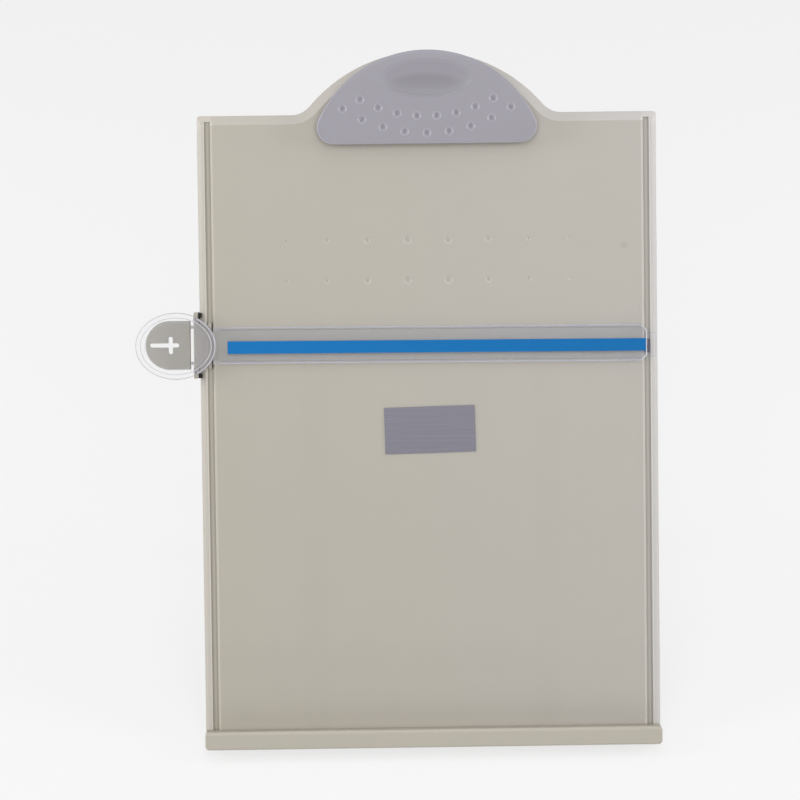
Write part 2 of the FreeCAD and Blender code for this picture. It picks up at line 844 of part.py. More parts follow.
def make_paper_clip():
    """The clip's cover: a domed lever with a hollow back, two ears for its pin, a thumb scoop and pits."""
    body = new_body("paper_clip")
    shape_clip_block(body, as_size(0), as_size(0))
    margin = k["clip_corner"]
    high = clip_top + margin
    low = clip_bottom - margin
    heel_slope = (k["clip_heel_height"] - k["clip_gap"]) / (clip_top - clip_pivot)
    under = new_sketch(body, "YZ_Plane", 0, "below_lever")
    draw_outline(under, (margin, low), (margin, high),
                 (-k["clip_heel_height"] - heel_slope * margin, high),
                 (-k["clip_gap"], clip_pivot), (-k["clip_gap"], low))
    pocket(body, under, k["clip_radius"] * 4, middle=True)
    round_edges(body, k["clip_round"], lambda edge, middle: (
        near(-middle.y, clip_front(as_size(middle.z)))))
    hollow = new_body("clip_hollow")
    shape_clip_block(hollow, k["clip_wall"], k["clip_wall"])
    cut = body.newObject("PartDesign::Boolean", "hollowed")
    cut.Type = "Cut"
    cut.setObjects([hollow])
    doc.recompute()
    add_clip_ears(body)
    cut_scoop(body)
    cut_clip_pits(body)
    return body


def clip_ear_inner():
    return k["bracket_half_width"] + k["side_gap"]


def add_clip_ears(body):
    ear = new_sketch(body, "YZ_Plane", clip_ear_inner(), "ear")
    boss = k["ear_boss"]
    low = clip_pivot - boss
    high = clip_pivot + boss
    sunk = k["clip_wall"] / 2
    draw_outline(
        ear,
        (sunk - clip_front(low), low),
        (-k["pivot_height"], low), Bend(boss, 1),
        (boss - k["pivot_height"], clip_pivot), Bend(boss, 1),
        (-k["pivot_height"], high),
        (sunk - clip_front(high), high))
    ear_pad = pad(body, ear, k["clip_ear_wall"])
    mirror_across(body, [ear_pad])
    bore = new_sketch(body, "YZ_Plane", 0, "pin_bore")
    draw_circle(bore, -k["pivot_height"], clip_pivot, k["clip_pin_radius"] + k["running_gap"])
    pocket(body, bore, (clip_ear_inner() + k["clip_ear_wall"] * 1.2) * 2, middle=True)


def cut_scoop(body):
    """A shallow oval thumb scoop near the top of the face, deepest near its lower edge.

    It is cut by a tilted ellipsoid whose long axis lies along its tilt, so that its width, height and depth
    at the face give the three half axes and the place of its centre above the face.
    """
    level = clip_bottom + k["scoop_level"]
    tilt = k["scoop_tilt_angle"]
    depth = k["scoop_depth"]
    half_height = k["scoop_height"] / 2
    spread = half_height * sine(tilt + tilt)
    thin_axis = (spread * spread + depth * depth) / (root(as_size(8)) * cosine(tilt) * depth)
    long_axis = thin_axis / tangent(tilt)
    wide_axis = k["scoop_width"] / 2 * thin_axis / (half_height * root(as_size(2)) * sine(tilt))
    lift = thin_axis * root(as_size(2)) * cosine(tilt) - depth
    ahead = lift / tangent(tilt + tilt)
    face = k["face_tilt_angle"]
    scoop = body.newObject("PartDesign::SubtractiveEllipsoid", "scoop")
    scoop.AttachmentSupport = [(origin_plane(body, "XZ_Plane"), "")]
    scoop.MapMode = "FlatFace"
    centre_level = level + ahead * cosine(face) - lift * sine(face)
    centre_height = clip_front(level) + ahead * sine(face) + lift * cosine(face)
    tilt_to_face(scoop, centre_level, centre_height, face + tilt)
    bind(scoop, "Radius1", thin_axis)
    bind(scoop, "Radius2", wide_axis)
    bind(scoop, "Radius3", long_axis)
    doc.recompute()


def cut_clip_pits(body):
    """Two arcs of blind pits about one centre above the clip, the lower row with a pit on the middle line."""
    pits = new_sketch(body, "XZ_Plane", 0, "pits")
    tilt_to_face(pits, clip_bottom, k["jaw_height"], k["face_tilt_angle"])
    high_row = [step + 0.5 for step in range(-4, 4)]
    low_row = list(range(-4, 5))
    for radius, steps in ((k["clip_pit_high_radius"], high_row), (k["clip_pit_low_radius"], low_row)):
        for step in steps:
            angle = k["clip_pit_angle"] * step
            level = clip_pit_centre - radius * cosine(angle) - clip_bottom
            draw_circle(pits, radius * sine(angle), level / cosine(k["face_tilt_angle"]), k["clip_pit_radius"])
    pocket(body, pits, k["pit_depth"], taper=-k["pit_wall_angle"])


def make_clip_jaw_pad():
    body = new_body("clip_jaw_pad")
    sketch = new_sketch(body, "XZ_Plane", k["side_gap"], "lip")
    half = k["clip_radius"] - k["clip_corner"] * 1.6
    low = clip_bottom + k["seat_gap"] * 5
    draw_rectangle(sketch, -half, low, half, low + k["jaw_pad_width"])
    pad(body, sketch, k["clip_gap"] - k["side_gap"])
    return body


def make_clip_bracket():
    """Pressed bracket: a base riveted to the panel and two ears folded up to hold the pin."""
    body = new_body("clip_bracket")
    base = new_sketch(body, "XZ_Plane", 0, "base")
    half = k["bracket_half_width"]
    low = clip_pivot - k["bracket_low"]
    high = clip_pivot + k["bracket_high"]
    draw_rectangle(base, -half, low, half, high)
    pad(body, base, k["bracket_wall"])
    ear = new_sketch(body, "YZ_Plane", half - k["bracket_wall"], "ear")
    boss = k["bracket_boss"]
    foot = -k["bracket_wall"] / 2
    draw_outline(
        ear,
        (foot, low + k["bracket_wall"]),
        (foot, high - k["bracket_wall"]),
        (-k["pivot_height"], clip_pivot + boss), Bend(boss, 1),
        (-k["pivot_height"] - boss, clip_pivot), Bend(boss, 1),
        (-k["pivot_height"], clip_pivot - boss))
    ear_pad = pad(body, ear, k["bracket_wall"])
    mirror_across(body, [ear_pad])
    bore = new_sketch(body, "YZ_Plane", 0, "pin_bore")
    draw_circle(bore, -k["pivot_height"], clip_pivot, k["clip_pin_radius"] + k["seat_gap"])
    pocket(body, bore, half * 2 + k["bracket_wall"], middle=True)
    holes = new_sketch(body, "XZ_Plane", k["bracket_wall"], "rivet_holes")
    for side in (-0.5, 0.5):
        draw_circle(holes, side * k["rivet_spacing"], rivet_level(), k["rivet_radius"] + k["seat_gap"])
    pocket(body, holes, k["bracket_wall"])
    return body


def make_clip_rivets():
    """Two rivets through bracket and panel, with a low round head on each side."""
    body = new_body("clip_rivets")
    shanks = new_sketch(body, "XZ_Plane", k["bracket_wall"], "shanks")
    front_heads = new_sketch(body, "XZ_Plane", k["bracket_wall"], "front_heads")
    rear_heads = new_sketch(body, "XZ_Plane", -k["face_wall"], "rear_heads")
    for side in (-0.5, 0.5):
        place = side * k["rivet_spacing"]
        draw_circle(shanks, place, rivet_level(), k["rivet_radius"])
        draw_circle(front_heads, place, rivet_level(), k["rivet_head"])
        draw_circle(rear_heads, place, rivet_level(), k["rivet_head"])
    pad(body, shanks, k["bracket_wall"] + k["face_wall"], back=True)
    pad(body, front_heads, k["rivet_head_height"])
    pad(body, rear_heads, k["rivet_head_height"], back=True)
    front = k["bracket_wall"] + k["rivet_head_height"]
    rear = k["face_wall"] + k["rivet_head_height"]
    round_edges(body, k["rivet_head_height"] * 0.6, lambda edge, middle: (
        near(middle.y, -front) or near(middle.y, rear)), "Chamfer")
    return body


def make_clip_pin():
    body = new_body("clip_pin")
    sketch = new_sketch(body, "YZ_Plane", 0, "section")
    draw_circle(sketch, -k["pivot_height"], clip_pivot, k["clip_pin_radius"])
    pad(body, sketch, k["clip_pin_length"], middle=True)
    end = k["clip_pin_length"] / 2
    round_edges(body, k["clip_pin_radius"] * 0.3, lambda edge, middle: near(abs(middle.x), end), "Chamfer")
    return body


def rounded_corner(start, corner, finish):
    """The arc that touches both lines of a corner at its ends, which lie equally far from the corner."""
    chord_middle = (start + finish) * 0.5
    lean = (finish - start).Length / 2 / (corner - start).Length
    crown = chord_middle + (corner - chord_middle) * (lean / (1 + lean))
    return Part.Arc(start, crown, finish).toShape()


def smooth_pair(start, leaving, finish, arriving):
    """Two arcs that leave one point along a heading and reach the other along its own, with no corner between."""
    across = finish - start
    along = across.dot(leaving + arriving)
    spare = 2 * (1 - leaving.dot(arriving))
    reach = (math.sqrt(along * along + spare * across.dot(across)) - along) / spare
    first_corner = start + leaving * reach
    last_corner = finish - arriving * reach
    middle = (first_corner + last_corner) * 0.5
    return [rounded_corner(start, first_corner, middle), rounded_corner(middle, last_corner, finish)]


def coil_path(mean, pitch, first_angle, last_angle, first_leg, last_leg):
    """One unbroken path about the Z axis: a straight leg, pairs of bends that climb, and a second leg."""
    climb = pitch / (2 * math.pi)

    def spot(angle):
        turn = math.radians(angle)
        return FreeCAD.Vector(mean * math.cos(turn), mean * math.sin(turn), climb * turn)

    def heading(angle):
        turn = math.radians(angle)
        return FreeCAD.Vector(-mean * math.sin(turn), mean * math.cos(turn), climb).normalize()

    halves = int(math.ceil((last_angle - first_angle) / 180.0))
    step = (last_angle - first_angle) / halves
    start = spot(first_angle)
    finish = spot(last_angle)
    edges = [Part.LineSegment(start - heading(first_angle) * first_leg, start).toShape()]
    for index in range(halves):
        low = first_angle + step * index
        high = low + step
        edges.extend(smooth_pair(spot(low), heading(low), spot(high), heading(high)))
    edges.append(Part.LineSegment(finish, finish + heading(last_angle) * last_leg).toShape())
    return Part.Wire(edges)


def wire_along(path, wire_radius):
    """A round wire of the given radius along a path."""
    first = path.Edges[0]
    start = first.valueAt(first.FirstParameter)
    direction = first.tangentAt(first.FirstParameter)
    section = Part.Wire([Part.Circle(start, direction, wire_radius).toShape()])
    return path.makePipeShell([section], True, False)


def new_feature(label, shape):
    feature = doc.addObject("Part::Feature", label)
    feature.Label = label
    feature.Shape = shape
    return feature


def make_clip_spring():
    """Torsion spring round the clip pin: one leg lies on the bracket, the other pushes the lever up."""
    mean = SIZES["spring_mean"]
    wire = SIZES["spring_wire"]
    pitch = SIZES["spring_pitch"]
    leg = SIZES["bracket_high"] + wire
    rise = SIZES["pivot_height"] - mean - SIZES["bracket_wall"] - wire
    low_tilt = math.degrees(math.atan(max(rise, 0) / leg)) * 0.9
    high_tilt = 10.0
    first = 180.0 + low_tilt
    last = 360.0 * CLIP_SPRING_TURNS - high_tilt
    path = coil_path(mean, pitch, first, last, leg, leg)
    print("clip spring gap to itself", round(pitch - 2 * wire, 3))
    solid = wire_along(path, wire)
    middle = pitch * (first + last) / 720.0
    solid.translate(FreeCAD.Vector(0, 0, -middle))
    frame = FreeCAD.Matrix(0, 0, -1, 0, -1, 0, 0, -SIZES["pivot_height"], 0, 1, 0, clip_pivot.number, 0, 0, 0, 1)
    return new_feature("clip_spring", Part.makeCompound([solid.transformed(frame)]))


def make_guide_springs():
    """Two small coils round the hinge pin: a short leg under the web, a long one that lifts the head's outer side."""
    mean = SIZES["coil_mean"]
    pitch = SIZES["coil_pitch"]
    wire = SIZES["coil_wire"]
    print("guide spring gap to itself", round(pitch - 2 * wire, 3))
    turns = GUIDE_SPRING_TURNS - 0.5
    short_leg = SIZES["coil_mean"] + SIZES["coil_wire"] + SIZES["side_gap"] - SIZES["seat_gap"]
    coils = []
    for side in (-1, 1):
        solid = wire_along(coil_path(mean, pitch, 0.0, 360.0 * turns, short_leg, lifting_leg(SIZES)), wire)
        low = SIZES["web_half_height"] - wire * 2 - lifting_leg_drift(SIZES) - pitch * turns
        solid.translate(FreeCAD.Vector(-SIZES["hinge_in"], -SIZES["hinge_height"], low))
        if side < 0:
            solid = solid.mirror(FreeCAD.Vector(0, 0, 0), FreeCAD.Vector(0, 0, 1))
        coils.append(solid)
    return new_feature("guide_springs", Part.makeCompound(coils))


def make_stand_rod():
    body = new_body("stand_rod")
    sketch = new_sketch(body, "YZ_Plane", 0, "section")
    draw_circle(sketch, k["pivot_in"], k["pivot_up"], k["rod_radius"])
    length = (nest_outer + k["lug_wall"] + k["side_gap"]) * 2
    pad(body, sketch, length, middle=True)
    end = length / 2
    round_edges(body, k["rod_radius"] * 0.3, lambda edge, middle: near(abs(middle.x), end), "Chamfer")
    return body


def make_stand_leg():
    """A frame leg drawn about its pivot, hanging down: hollow rails, a foot bar and a heel that stops it open."""
    body = new_body("stand_leg")
    opening = k["leg_open_angle"]
    reach = k["pivot_in"] - k["face_wall"] - k["seat_gap"] * 5
    heel_across = (k["heel_top"] * sine(opening) - reach) / cosine(opening)
    heel_level = (reach - k["leg_front"] * cosine(opening)) / sine(opening)
    top = k["heel_top"]
    side = new_sketch(body, "YZ_Plane", 0, "side_profile")
    draw_outline(
        side,
        (-k["leg_front"], -leg_length),
        (k["leg_back"], -leg_length),
        (k["leg_back"], top / 2),
        (k["leg_back"] / 2, top),
        (heel_across, top),
        (-k["leg_front"], heel_level))
    pad(body, side, leg_half * 2, middle=True)
    barrel = new_sketch(body, "YZ_Plane", 0, "barrel")
    draw_circle(barrel, 0, 0, k["barrel_radius"])
    pad(body, barrel, leg_half * 2, middle=True)

    inner = leg_half - k["rail_width"]
    bar_low = -leg_length + k["leg_bar_height"]
    bar_high = -k["barrel_radius"] * 3
    window = new_sketch(body, "XZ_Plane", k["leg_front"] * 2, "window")
    draw_rectangle(window, -inner, bar_low, inner, bar_high)
    pocket(body, window, (k["leg_front"] + k["leg_back"]) * 3)
    hollows = new_sketch(body, "XZ_Plane", k["leg_front"], "hollows")
    wall = k["leg_wall"]
    rail_cells = 4
    cell = (bar_high - bar_low) / rail_cells
    for number in range(rail_cells):
        low = bar_low + cell * number + wall / 2
        high = bar_low + cell * (number + 1) - wall / 2
        draw_rectangle(hollows, inner + wall, low, leg_half - wall, high)
        draw_rectangle(hollows, -leg_half + wall, low, -inner - wall, high)
    bar_floor = -leg_length + wall
    draw_rectangle(hollows, -inner, bar_floor, -wall / 2, bar_low - wall)
    draw_rectangle(hollows, wall / 2, bar_floor, inner, bar_low - wall)
    pocket(body, hollows, k["leg_front"] + k["leg_back"] - wall)
    bore = new_sketch(body, "YZ_Plane", 0, "rod_bore")
    draw_circle(bore, 0, 0, k["rod_radius"] + k["running_gap"])
    pocket(body, bore, leg_half * 2 + 1, middle=True)
    round_edges(body, k["leg_corner"], lambda edge, middle: (
        is_along(edge, 1) and near(abs(middle.x), leg_half) and near(middle.z, -leg_length)))
    round_edges(body, k["leg_wall"], lambda edge, middle: (
        is_along(edge, 1) and near(abs(middle.x), inner) and middle.y + edge.Length / 2 > SIZES["leg_back"] * 0.9
        and (near(middle.z, bar_low) or near(middle.z, bar_high))))
    round_edges(body, k["leg_wall"] * 0.5, lambda edge, middle: (
        near(middle.y, k["leg_back"]) and middle.z < -SIZES["heel_top"]))
    return body


def floor_below_pivot(depth):
    """Where the floor lies in the open leg's own frame."""
    return -(pivot_rise + depth * sine(leg_lean)) / cosine(leg_lean)


def make_stand_foot():
    body = new_body("stand_foot")
    side = new_sketch(body, "YZ_Plane", 0, "side_profile")
    front = -k["leg_front"]
    draw_outline(
        side,
        (front, floor_below_pivot(front)),
        (k["leg_back"], floor_below_pivot(k["leg_back"])),
        (k["leg_back"], -leg_length),
        (front, -leg_length))
    pad(body, side, (leg_half - k["leg_corner"]) * 2, middle=True)
    return body


def make_guide_carriage():
    """Channel that grips the panel's left rim: outer wall, front web, groove tongue, rear flange and ears."""
    body = new_body("guide_carriage")
    outer = -k["wall_outer"]
    inner = -k["wall_inner"]
    flange = k["board_depth"] + k["flange_gap"]
    back = new_sketch(body, "XY_Plane", 0, "wall_and_flange")
    draw_outline(
        back,
        (outer, k["notch_depth"]),
        (inner, k["notch_depth"]),
        (inner, flange),
        (k["flange_reach"], flange),
        (k["flange_reach"], flange + k["flange_wall"]),
        (outer, flange + k["flange_wall"]))
    pad(body, back, k["wall_length"], middle=True)

    fronts = new_sketch(body, "XZ_Plane", k["web_top"], "wall_fronts")
    web_half = k["web_half_height"]
    end = k["wall_length"] / 2
    draw_rectangle(fronts, outer, -web_half, inner, web_half)
    draw_rectangle(fronts, outer, end - k["ear_wall"], inner, end)
    draw_rectangle(fronts, outer, -end, inner, k["ear_wall"] - end)
    pad(body, fronts, k["web_top"] + k["notch_depth"] + k["seat_gap"] * 10, back=True)

    web = new_sketch(body, "XZ_Plane", k["web_gap"], "web")
    tip = web_half / 3
    draw_outline(
        web,
        (outer, -web_half), Bend(web_half * 1.15, 1),
        (k["web_reach"], -tip),
        (k["web_reach"], tip), Bend(web_half * 1.15, 1),
        (outer, web_half))
    pad(body, web, k["web_top"] - k["web_gap"])
    tongue = new_sketch(body, "XZ_Plane", -k["tongue_depth"], "tongue")
    half = k["tongue_length"] / 2
    draw_rectangle(tongue, tongue_left(), -half, tongue_left() + k["tongue_width"], half)
    pad(body, tongue, k["tongue_depth"] + k["web_gap"] + k["seat_gap"] * 10)

    notches = new_sketch(body, "XZ_Plane", coil_clearance(), "spring_notches")
    for side in (-1, 1):
        pair = (side * (web_half - spring_room()), side * (web_half + k["side_gap"]))
        draw_rectangle(notches, outer - 1, min_of(*pair), as_size(0), max_of(*pair))
    pocket(body, notches, coil_clearance() + k["notch_depth"])
    leg_ways = new_sketch(body, "XZ_Plane", k["web_top"], "spring_leg_ways")
    leg_middle = web_half - k["coil_wire"] * 2 - lifting_leg_drift(k)
    for side in (-1, 1):
        pair = (side * (leg_middle - k["coil_wire"] * 2), side * (web_half + k["side_gap"]))
        draw_rectangle(leg_ways, outer - 1, min_of(*pair),
                       k["coil_wire"] * 2 - k["hinge_in"] - k["coil_mean"], max_of(*pair))
    pocket(body, leg_ways, k["web_top"])
    hinge = new_sketch(body, "XY_Plane", 0, "hinge_bore")
    draw_circle(hinge, -k["hinge_in"], -k["hinge_height"], k["hinge_pin_radius"] + k["seat_gap"])
    pocket(body, hinge, k["wall_length"] + 1, middle=True)
    cross_bores = new_sketch(body, "YZ_Plane", 0, "thumb_pin_bores")
    for side in (-0.5, 0.5):
        draw_circle(cross_bores, thumb_pin_depth(), side * k["thumb_pin_spread"],
                    k["thumb_pin_radius"] + k["seat_gap"])
    pocket(body, cross_bores, k["wall_outer"] * 3, middle=True)
    return body


def coil_clearance():
    """How high above the panel the coils of the small springs need room."""
    return k["hinge_height"] + k["coil_mean"] + k["coil_wire"] + k["side_gap"]


def tongue_left():
    return k["rim_width"] + k["web_gap"]


def lug_start():
    """Where the head's two hinge lugs begin, just past the web's ends."""
    return k["web_half_height"] + k["running_gap"] * 3


def lug_end():
    return lug_start() + k["lug_thickness"]


def spring_room():
    """Length of the web that each small spring takes, from the web's end inward."""
    return k["coil_pitch"] * GUIDE_SPRING_TURNS + k["coil_wire"] * 4 + k["side_gap"]


def lifting_leg(sizes):
    """Length of each small spring's long leg, from its coil up to the underside of the head."""
    return sizes["head_bottom"] - sizes["hinge_height"] - sizes["running_gap"]


def lifting_leg_drift(sizes):
    """How far the long leg drifts along the hinge, since it leaves the coil at the slope of its turns."""
    return lifting_leg(sizes) * sizes["coil_pitch"] / (sizes["coil_mean"] * (2 * math.pi))


def thumb_pin_depth():
    return -k["thumb_front"] + k["thumb_wall"] / 2


def make_brake_pad():
    """Dark liner that rubs on the panel: a strip inside the wall, an end lap over the bevel, a groove strip."""
    body = new_body("brake_pad")
    outer = -k["wall_inner"]
    inner = k["pad_thickness"] - k["wall_inner"]
    end = k["wall_length"] / 2
    strip = new_sketch(body, "XY_Plane", 0, "strip")
    draw_rectangle(strip, outer, k["notch_depth"], inner, k["board_depth"])
    pad(body, strip, k["wall_length"], middle=True)
    lap = new_sketch(body, "XY_Plane", lug_end() + k["side_gap"], "lap")
    slope = k["bevel_drop"] / k["side_bevel"]
    reach = k["pad_lip_reach"]
    top_of_bevel = k["bevel_drop"] - k["pad_lip_gap"]
    draw_outline(
        lap,
        (outer, k["pad_lip_depth"]),
        (reach, k["pad_lip_depth"]),
        (reach, top_of_bevel - slope * reach),
        (inner, top_of_bevel - slope * inner),
        (inner, k["board_depth"]),
        (outer, k["board_depth"]))
    lap_pad = pad(body, lap, end - lug_end() - k["side_gap"])
    mirror_across(body, [lap_pad], "XY_Plane")
    groove_strip = new_sketch(body, "XZ_Plane", -k["tongue_depth"], "groove_strip")
    left = tongue_left() + k["tongue_width"]
    half = k["tongue_length"] / 2
    draw_rectangle(groove_strip, left, -half, left + k["groove_strip_width"], half)
    pad(body, groove_strip, k["tongue_depth"] - k["groove_strip_drop"])
    return body


def make_thumb_plate():
    """Rear grip: a plate with one round end and a slot in the shape of a long cross."""
    body = new_body("thumb_plate")
    outline = new_sketch(body, "XZ_Plane", k["thumb_front"], "outline")
    radius = k["thumb_radius"]
    centre = k["thumb_centre"]
    draw_outline(
        outline,
        (centre, -radius),
        (k["thumb_edge"], -radius),
        (k["thumb_edge"], radius),
        (centre, radius), Bend(radius, 1),
        (centre - radius, 0), Bend(radius, 1))
    pad(body, outline, k["thumb_wall"], back=True)
    round_edges(body, k["thumb_wall"] * 0.2, lambda edge, middle: (
        near(middle.y, -k["thumb_front"]) or near(middle.y, -k["thumb_front"] + k["thumb_wall"])))
    level_slot = new_sketch(body, "XZ_Plane", k["thumb_front"], "long_slot")
    draw_slot(level_slot, k["cross_left"], k["cross_left"] + k["cross_long"], 0, k["cross_long_width"])
    pocket(body, level_slot, k["thumb_wall"])
    short_slot = new_sketch(body, "XZ_Plane", k["thumb_front"], "short_slot")
    half = k["cross_short_width"] / 2
    reach = k["cross_short"] / 2
    middle = k["cross_centre"]
    draw_outline(
        short_slot,
        (middle + half, half - reach),
        (middle + half, reach - half), Bend(half, 1),
        (middle, reach), Bend(half, 1),
        (middle - half, reach - half),
        (middle - half, half - reach), Bend(half, 1),
        (middle, -reach), Bend(half, 1))
    pocket(body, short_slot, k["thumb_wall"])
    bores = new_sketch(body, "YZ_Plane", k["thumb_edge"], "pin_bores")
    for side in (-0.5, 0.5):
        draw_circle(bores, thumb_pin_depth(), side * k["thumb_pin_spread"],
                    k["thumb_pin_radius"] + k["seat_gap"])
    pocket(body, bores, k["thumb_pin_grip"])
    return body


def make_thumb_plate_pins():
    body = new_body("thumb_plate_pins")
    sketch = new_sketch(body, "YZ_Plane", -k["wall_inner"], "sections")
    for side in (-0.5, 0.5):
        draw_circle(sketch, thumb_pin_depth(), side * k["thumb_pin_spread"], k["thumb_pin_radius"])
    length = k["thumb_pin_grip"] - k["thumb_edge"] - k["wall_inner"] - k["seat_gap"] * 5
    pad(body, sketch, length, back=True)
    return body


def make_guide_hinge_pin():
    body = new_body("guide_hinge_pin")
    sketch = new_sketch(body, "XY_Plane", 0, "section")
    draw_circle(sketch, -k["hinge_in"], -k["hinge_height"], k["hinge_pin_radius"])
    pad(body, sketch, k["wall_length"], middle=True)
    return body


def make_line_guide():
    """One clear moulding: an oval head with a raised rim, and a stiffened strip that crosses the page."""
    body = new_body("line_guide")
    head = new_sketch(body, "XZ_Plane", k["head_bottom"], "head")
    draw_ellipse(head, k["head_centre"], k["head_half_width"], k["head_half_height"])
    pad(body, head, k["head_top"] - k["head_bottom"])
    dish = new_sketch(body, "XZ_Plane", k["head_top"], "dish")
    draw_ellipse(dish, k["head_centre"], k["head_half_width"] - k["head_rim"], k["head_half_height"] - k["head_rim"])
    pocket(body, dish, k["head_top"] - k["head_floor"])
    round_edges(body, (k["head_top"] - k["head_floor"]) * 0.8, lambda edge, middle: near(middle.y, -k["head_top"]))

    strip = new_sketch(body, "XZ_Plane", k["strip_bottom"], "strip")
    half = k["strip_height"] / 2
    run = k["strip_chamfer_run"]
    rise = k["strip_chamfer_rise"]
    draw_outline(
        strip,
        (k["strip_left"], -half),
        (k["strip_right"] - run, -half),
        (k["strip_right"], rise - half),
        (k["strip_right"], half - rise),
        (k["strip_right"] - run, half),
        (k["strip_left"], half))
    pad(body, strip, k["strip_top"] - k["strip_bottom"])
    round_edges(body, k["strip_soften"], lambda edge, middle: (
        near(middle.y, -k["strip_top"]) and middle.x > SIZES["strip_right"] - SIZES["strip_chamfer_run"] * 1.1
        and edge.Length < SIZES["strip_height"] * 0.9), "Chamfer")
    beads = new_sketch(body, "XZ_Plane", k["strip_top"] - k["bead_rise"] / 2, "beads")
    for side in (-1, 1):
        pair = (side * half, side * (half - k["bead_width"]))
        draw_rectangle(beads, k["strip_left"], min_of(*pair), k["strip_right"] - run, max_of(*pair))
    pad(body, beads, k["bead_rise"] * 1.5)
    neck = new_sketch(body, "XZ_Plane", k["strip_bottom"], "neck")
    neck_half = k["head_half_height"] * 0.2
    draw_rectangle(neck, k["strip_left"], -neck_half, k["strip_left"] + k["side_gap"] * 3.5, neck_half)
    pad(body, neck, k["head_floor"] - k["strip_bottom"])
    tail = new_sketch(body, "XZ_Plane", k["strip_bottom"], "tail")
    tail_half = k["tail_height"] / 2
    middle = k["line_offset"]
    draw_rectangle(tail, k["strip_right"] - 1, middle - tail_half, k["tail_end"], middle + tail_half)
    pad(body, tail, k["tail_thickness"])

    lug = new_sketch(body, "XY_Plane", lug_start(), "lug")
    radius = k["hinge_pin_radius"] * 2
    across = -k["hinge_in"]
    deep = -k["hinge_height"]
    sunk = -(k["head_bottom"] + k["side_gap"])
    draw_outline(
        lug,
        (across - radius, sunk),
        (across + radius, sunk),
        (across + radius, deep), Bend(radius, 1),
        (across, deep + radius), Bend(radius, 1),
        (across - radius, deep))
    lug_pad = pad(body, lug, k["lug_thickness"])
    mirror_across(body, [lug_pad], "XY_Plane")
    bore = new_sketch(body, "XY_Plane", 0, "hinge_bore")
    draw_circle(bore, across, deep, k["hinge_pin_radius"] + k["running_gap"])
    pocket(body, bore, k["wall_length"], middle=True)
    return body


def make_reading_line():
    body = new_body("reading_line")
    sketch = new_sketch(body, "XZ_Plane", k["strip_top"], "line")
    half = k["line_width"] / 2
    draw_rectangle(sketch, k["line_left"], k["line_offset"] - half, k["line_right"], k["line_offset"] + half)
    pad(body, sketch, k["line_thickness"])
    return body


def make_end_glide():
    """Peg under the strip's far end that runs in the right groove."""
    body = new_body("end_glide")
    deep = k["groove_depth"] - k["side_gap"] * 2
    sketch = new_sketch(body, "XZ_Plane", -deep, "peg")
    right = k["board_width"] - k["rim_width"] - k["glide_gap"]
    left = right - k["groove_width"] + k["glide_gap"] * 2
    half = k["glide_height"] / 2
    draw_rectangle(sketch, left, k["glide_offset"] - half, right, k["glide_offset"] + half)
    pad(body, sketch, deep + k["strip_bottom"])
    round_edges(body, k["glide_gap"] * 2, lambda edge, middle: is_along(edge, 1))
    return body


def turned(axis, angle):
    return FreeCAD.Rotation(FreeCAD.Vector(*axis), angle)


def moved(across, deep, up, rotation=None):
    return FreeCAD.Placement(FreeCAD.Vector(across, deep, up), rotation or FreeCAD.Rotation())


def place_pieces(pieces):
    """Set each piece on the leaning board, then put the middle of the whole at the origin, on the floor."""
    lean = SIZES["lean_angle"]
    on_board = {
        "name_plate": moved(0, 0, SIZES["plate_level"], turned((0, 1, 0), -SIZES["plate_angle"])),
        "stand_leg": moved(0, SIZES["pivot_in"], SIZES["pivot_up"], turned((1, 0, 0), SIZES["leg_open_angle"])),
    }
    on_board["stand_foot"] = on_board["stand_leg"]
    foot_across = SIZES["board_width"] / 2 - SIZES["foot_inset"]
    for label, across in (("left_foot", -foot_across), ("right_foot", foot_across)):
        on_board[label] = moved(across, 0, -SIZES["ledge_height"], turned((1, 0, 0), lean))
    guide = moved(-SIZES["board_width"] / 2, 0, SIZES["guide_level"],
                  turned((0, 1, 0), SIZES["guide_droop_angle"]))
    for label in GUIDE_PIECES:
        on_board[label] = guide
    leaning = moved(0, 0, 0, turned((1, 0, 0), -lean))
    for piece in pieces:
        piece.Placement = leaning.multiply(on_board.get(piece.Label, moved(0, 0, 0)))
    doc.recompute()
    box = Part.makeCompound([piece.Shape for piece in pieces]).optimalBoundingBox(False)
    shift = moved(-box.Center.x, -box.Center.y, -box.ZMin)
    for piece in pieces:
        piece.Placement = shift.multiply(piece.Placement)
    doc.recompute()
    return shift.multiply(leaning)


GUIDE_PIECES = ("guide_carriage", "brake_pad", "thumb_plate", "thumb_plate_pins", "guide_hinge_pin",
                "guide_springs", "line_guide", "reading_line", "end_glide")


def check_document(pieces):
    """Stop if anything failed to build or a piece is not a sound solid."""
    for thing in doc.Objects:
        if "Invalid" in thing.State or "Error" in thing.State:
            raise ValueError("failed: " + thing.Name + " in state " + str(thing.State))
    for piece in pieces:
        if piece.Shape.isNull() or not piece.Shape.isValid() or not piece.Shape.Solids:
            raise ValueError("unsound shape: " + piece.Label)


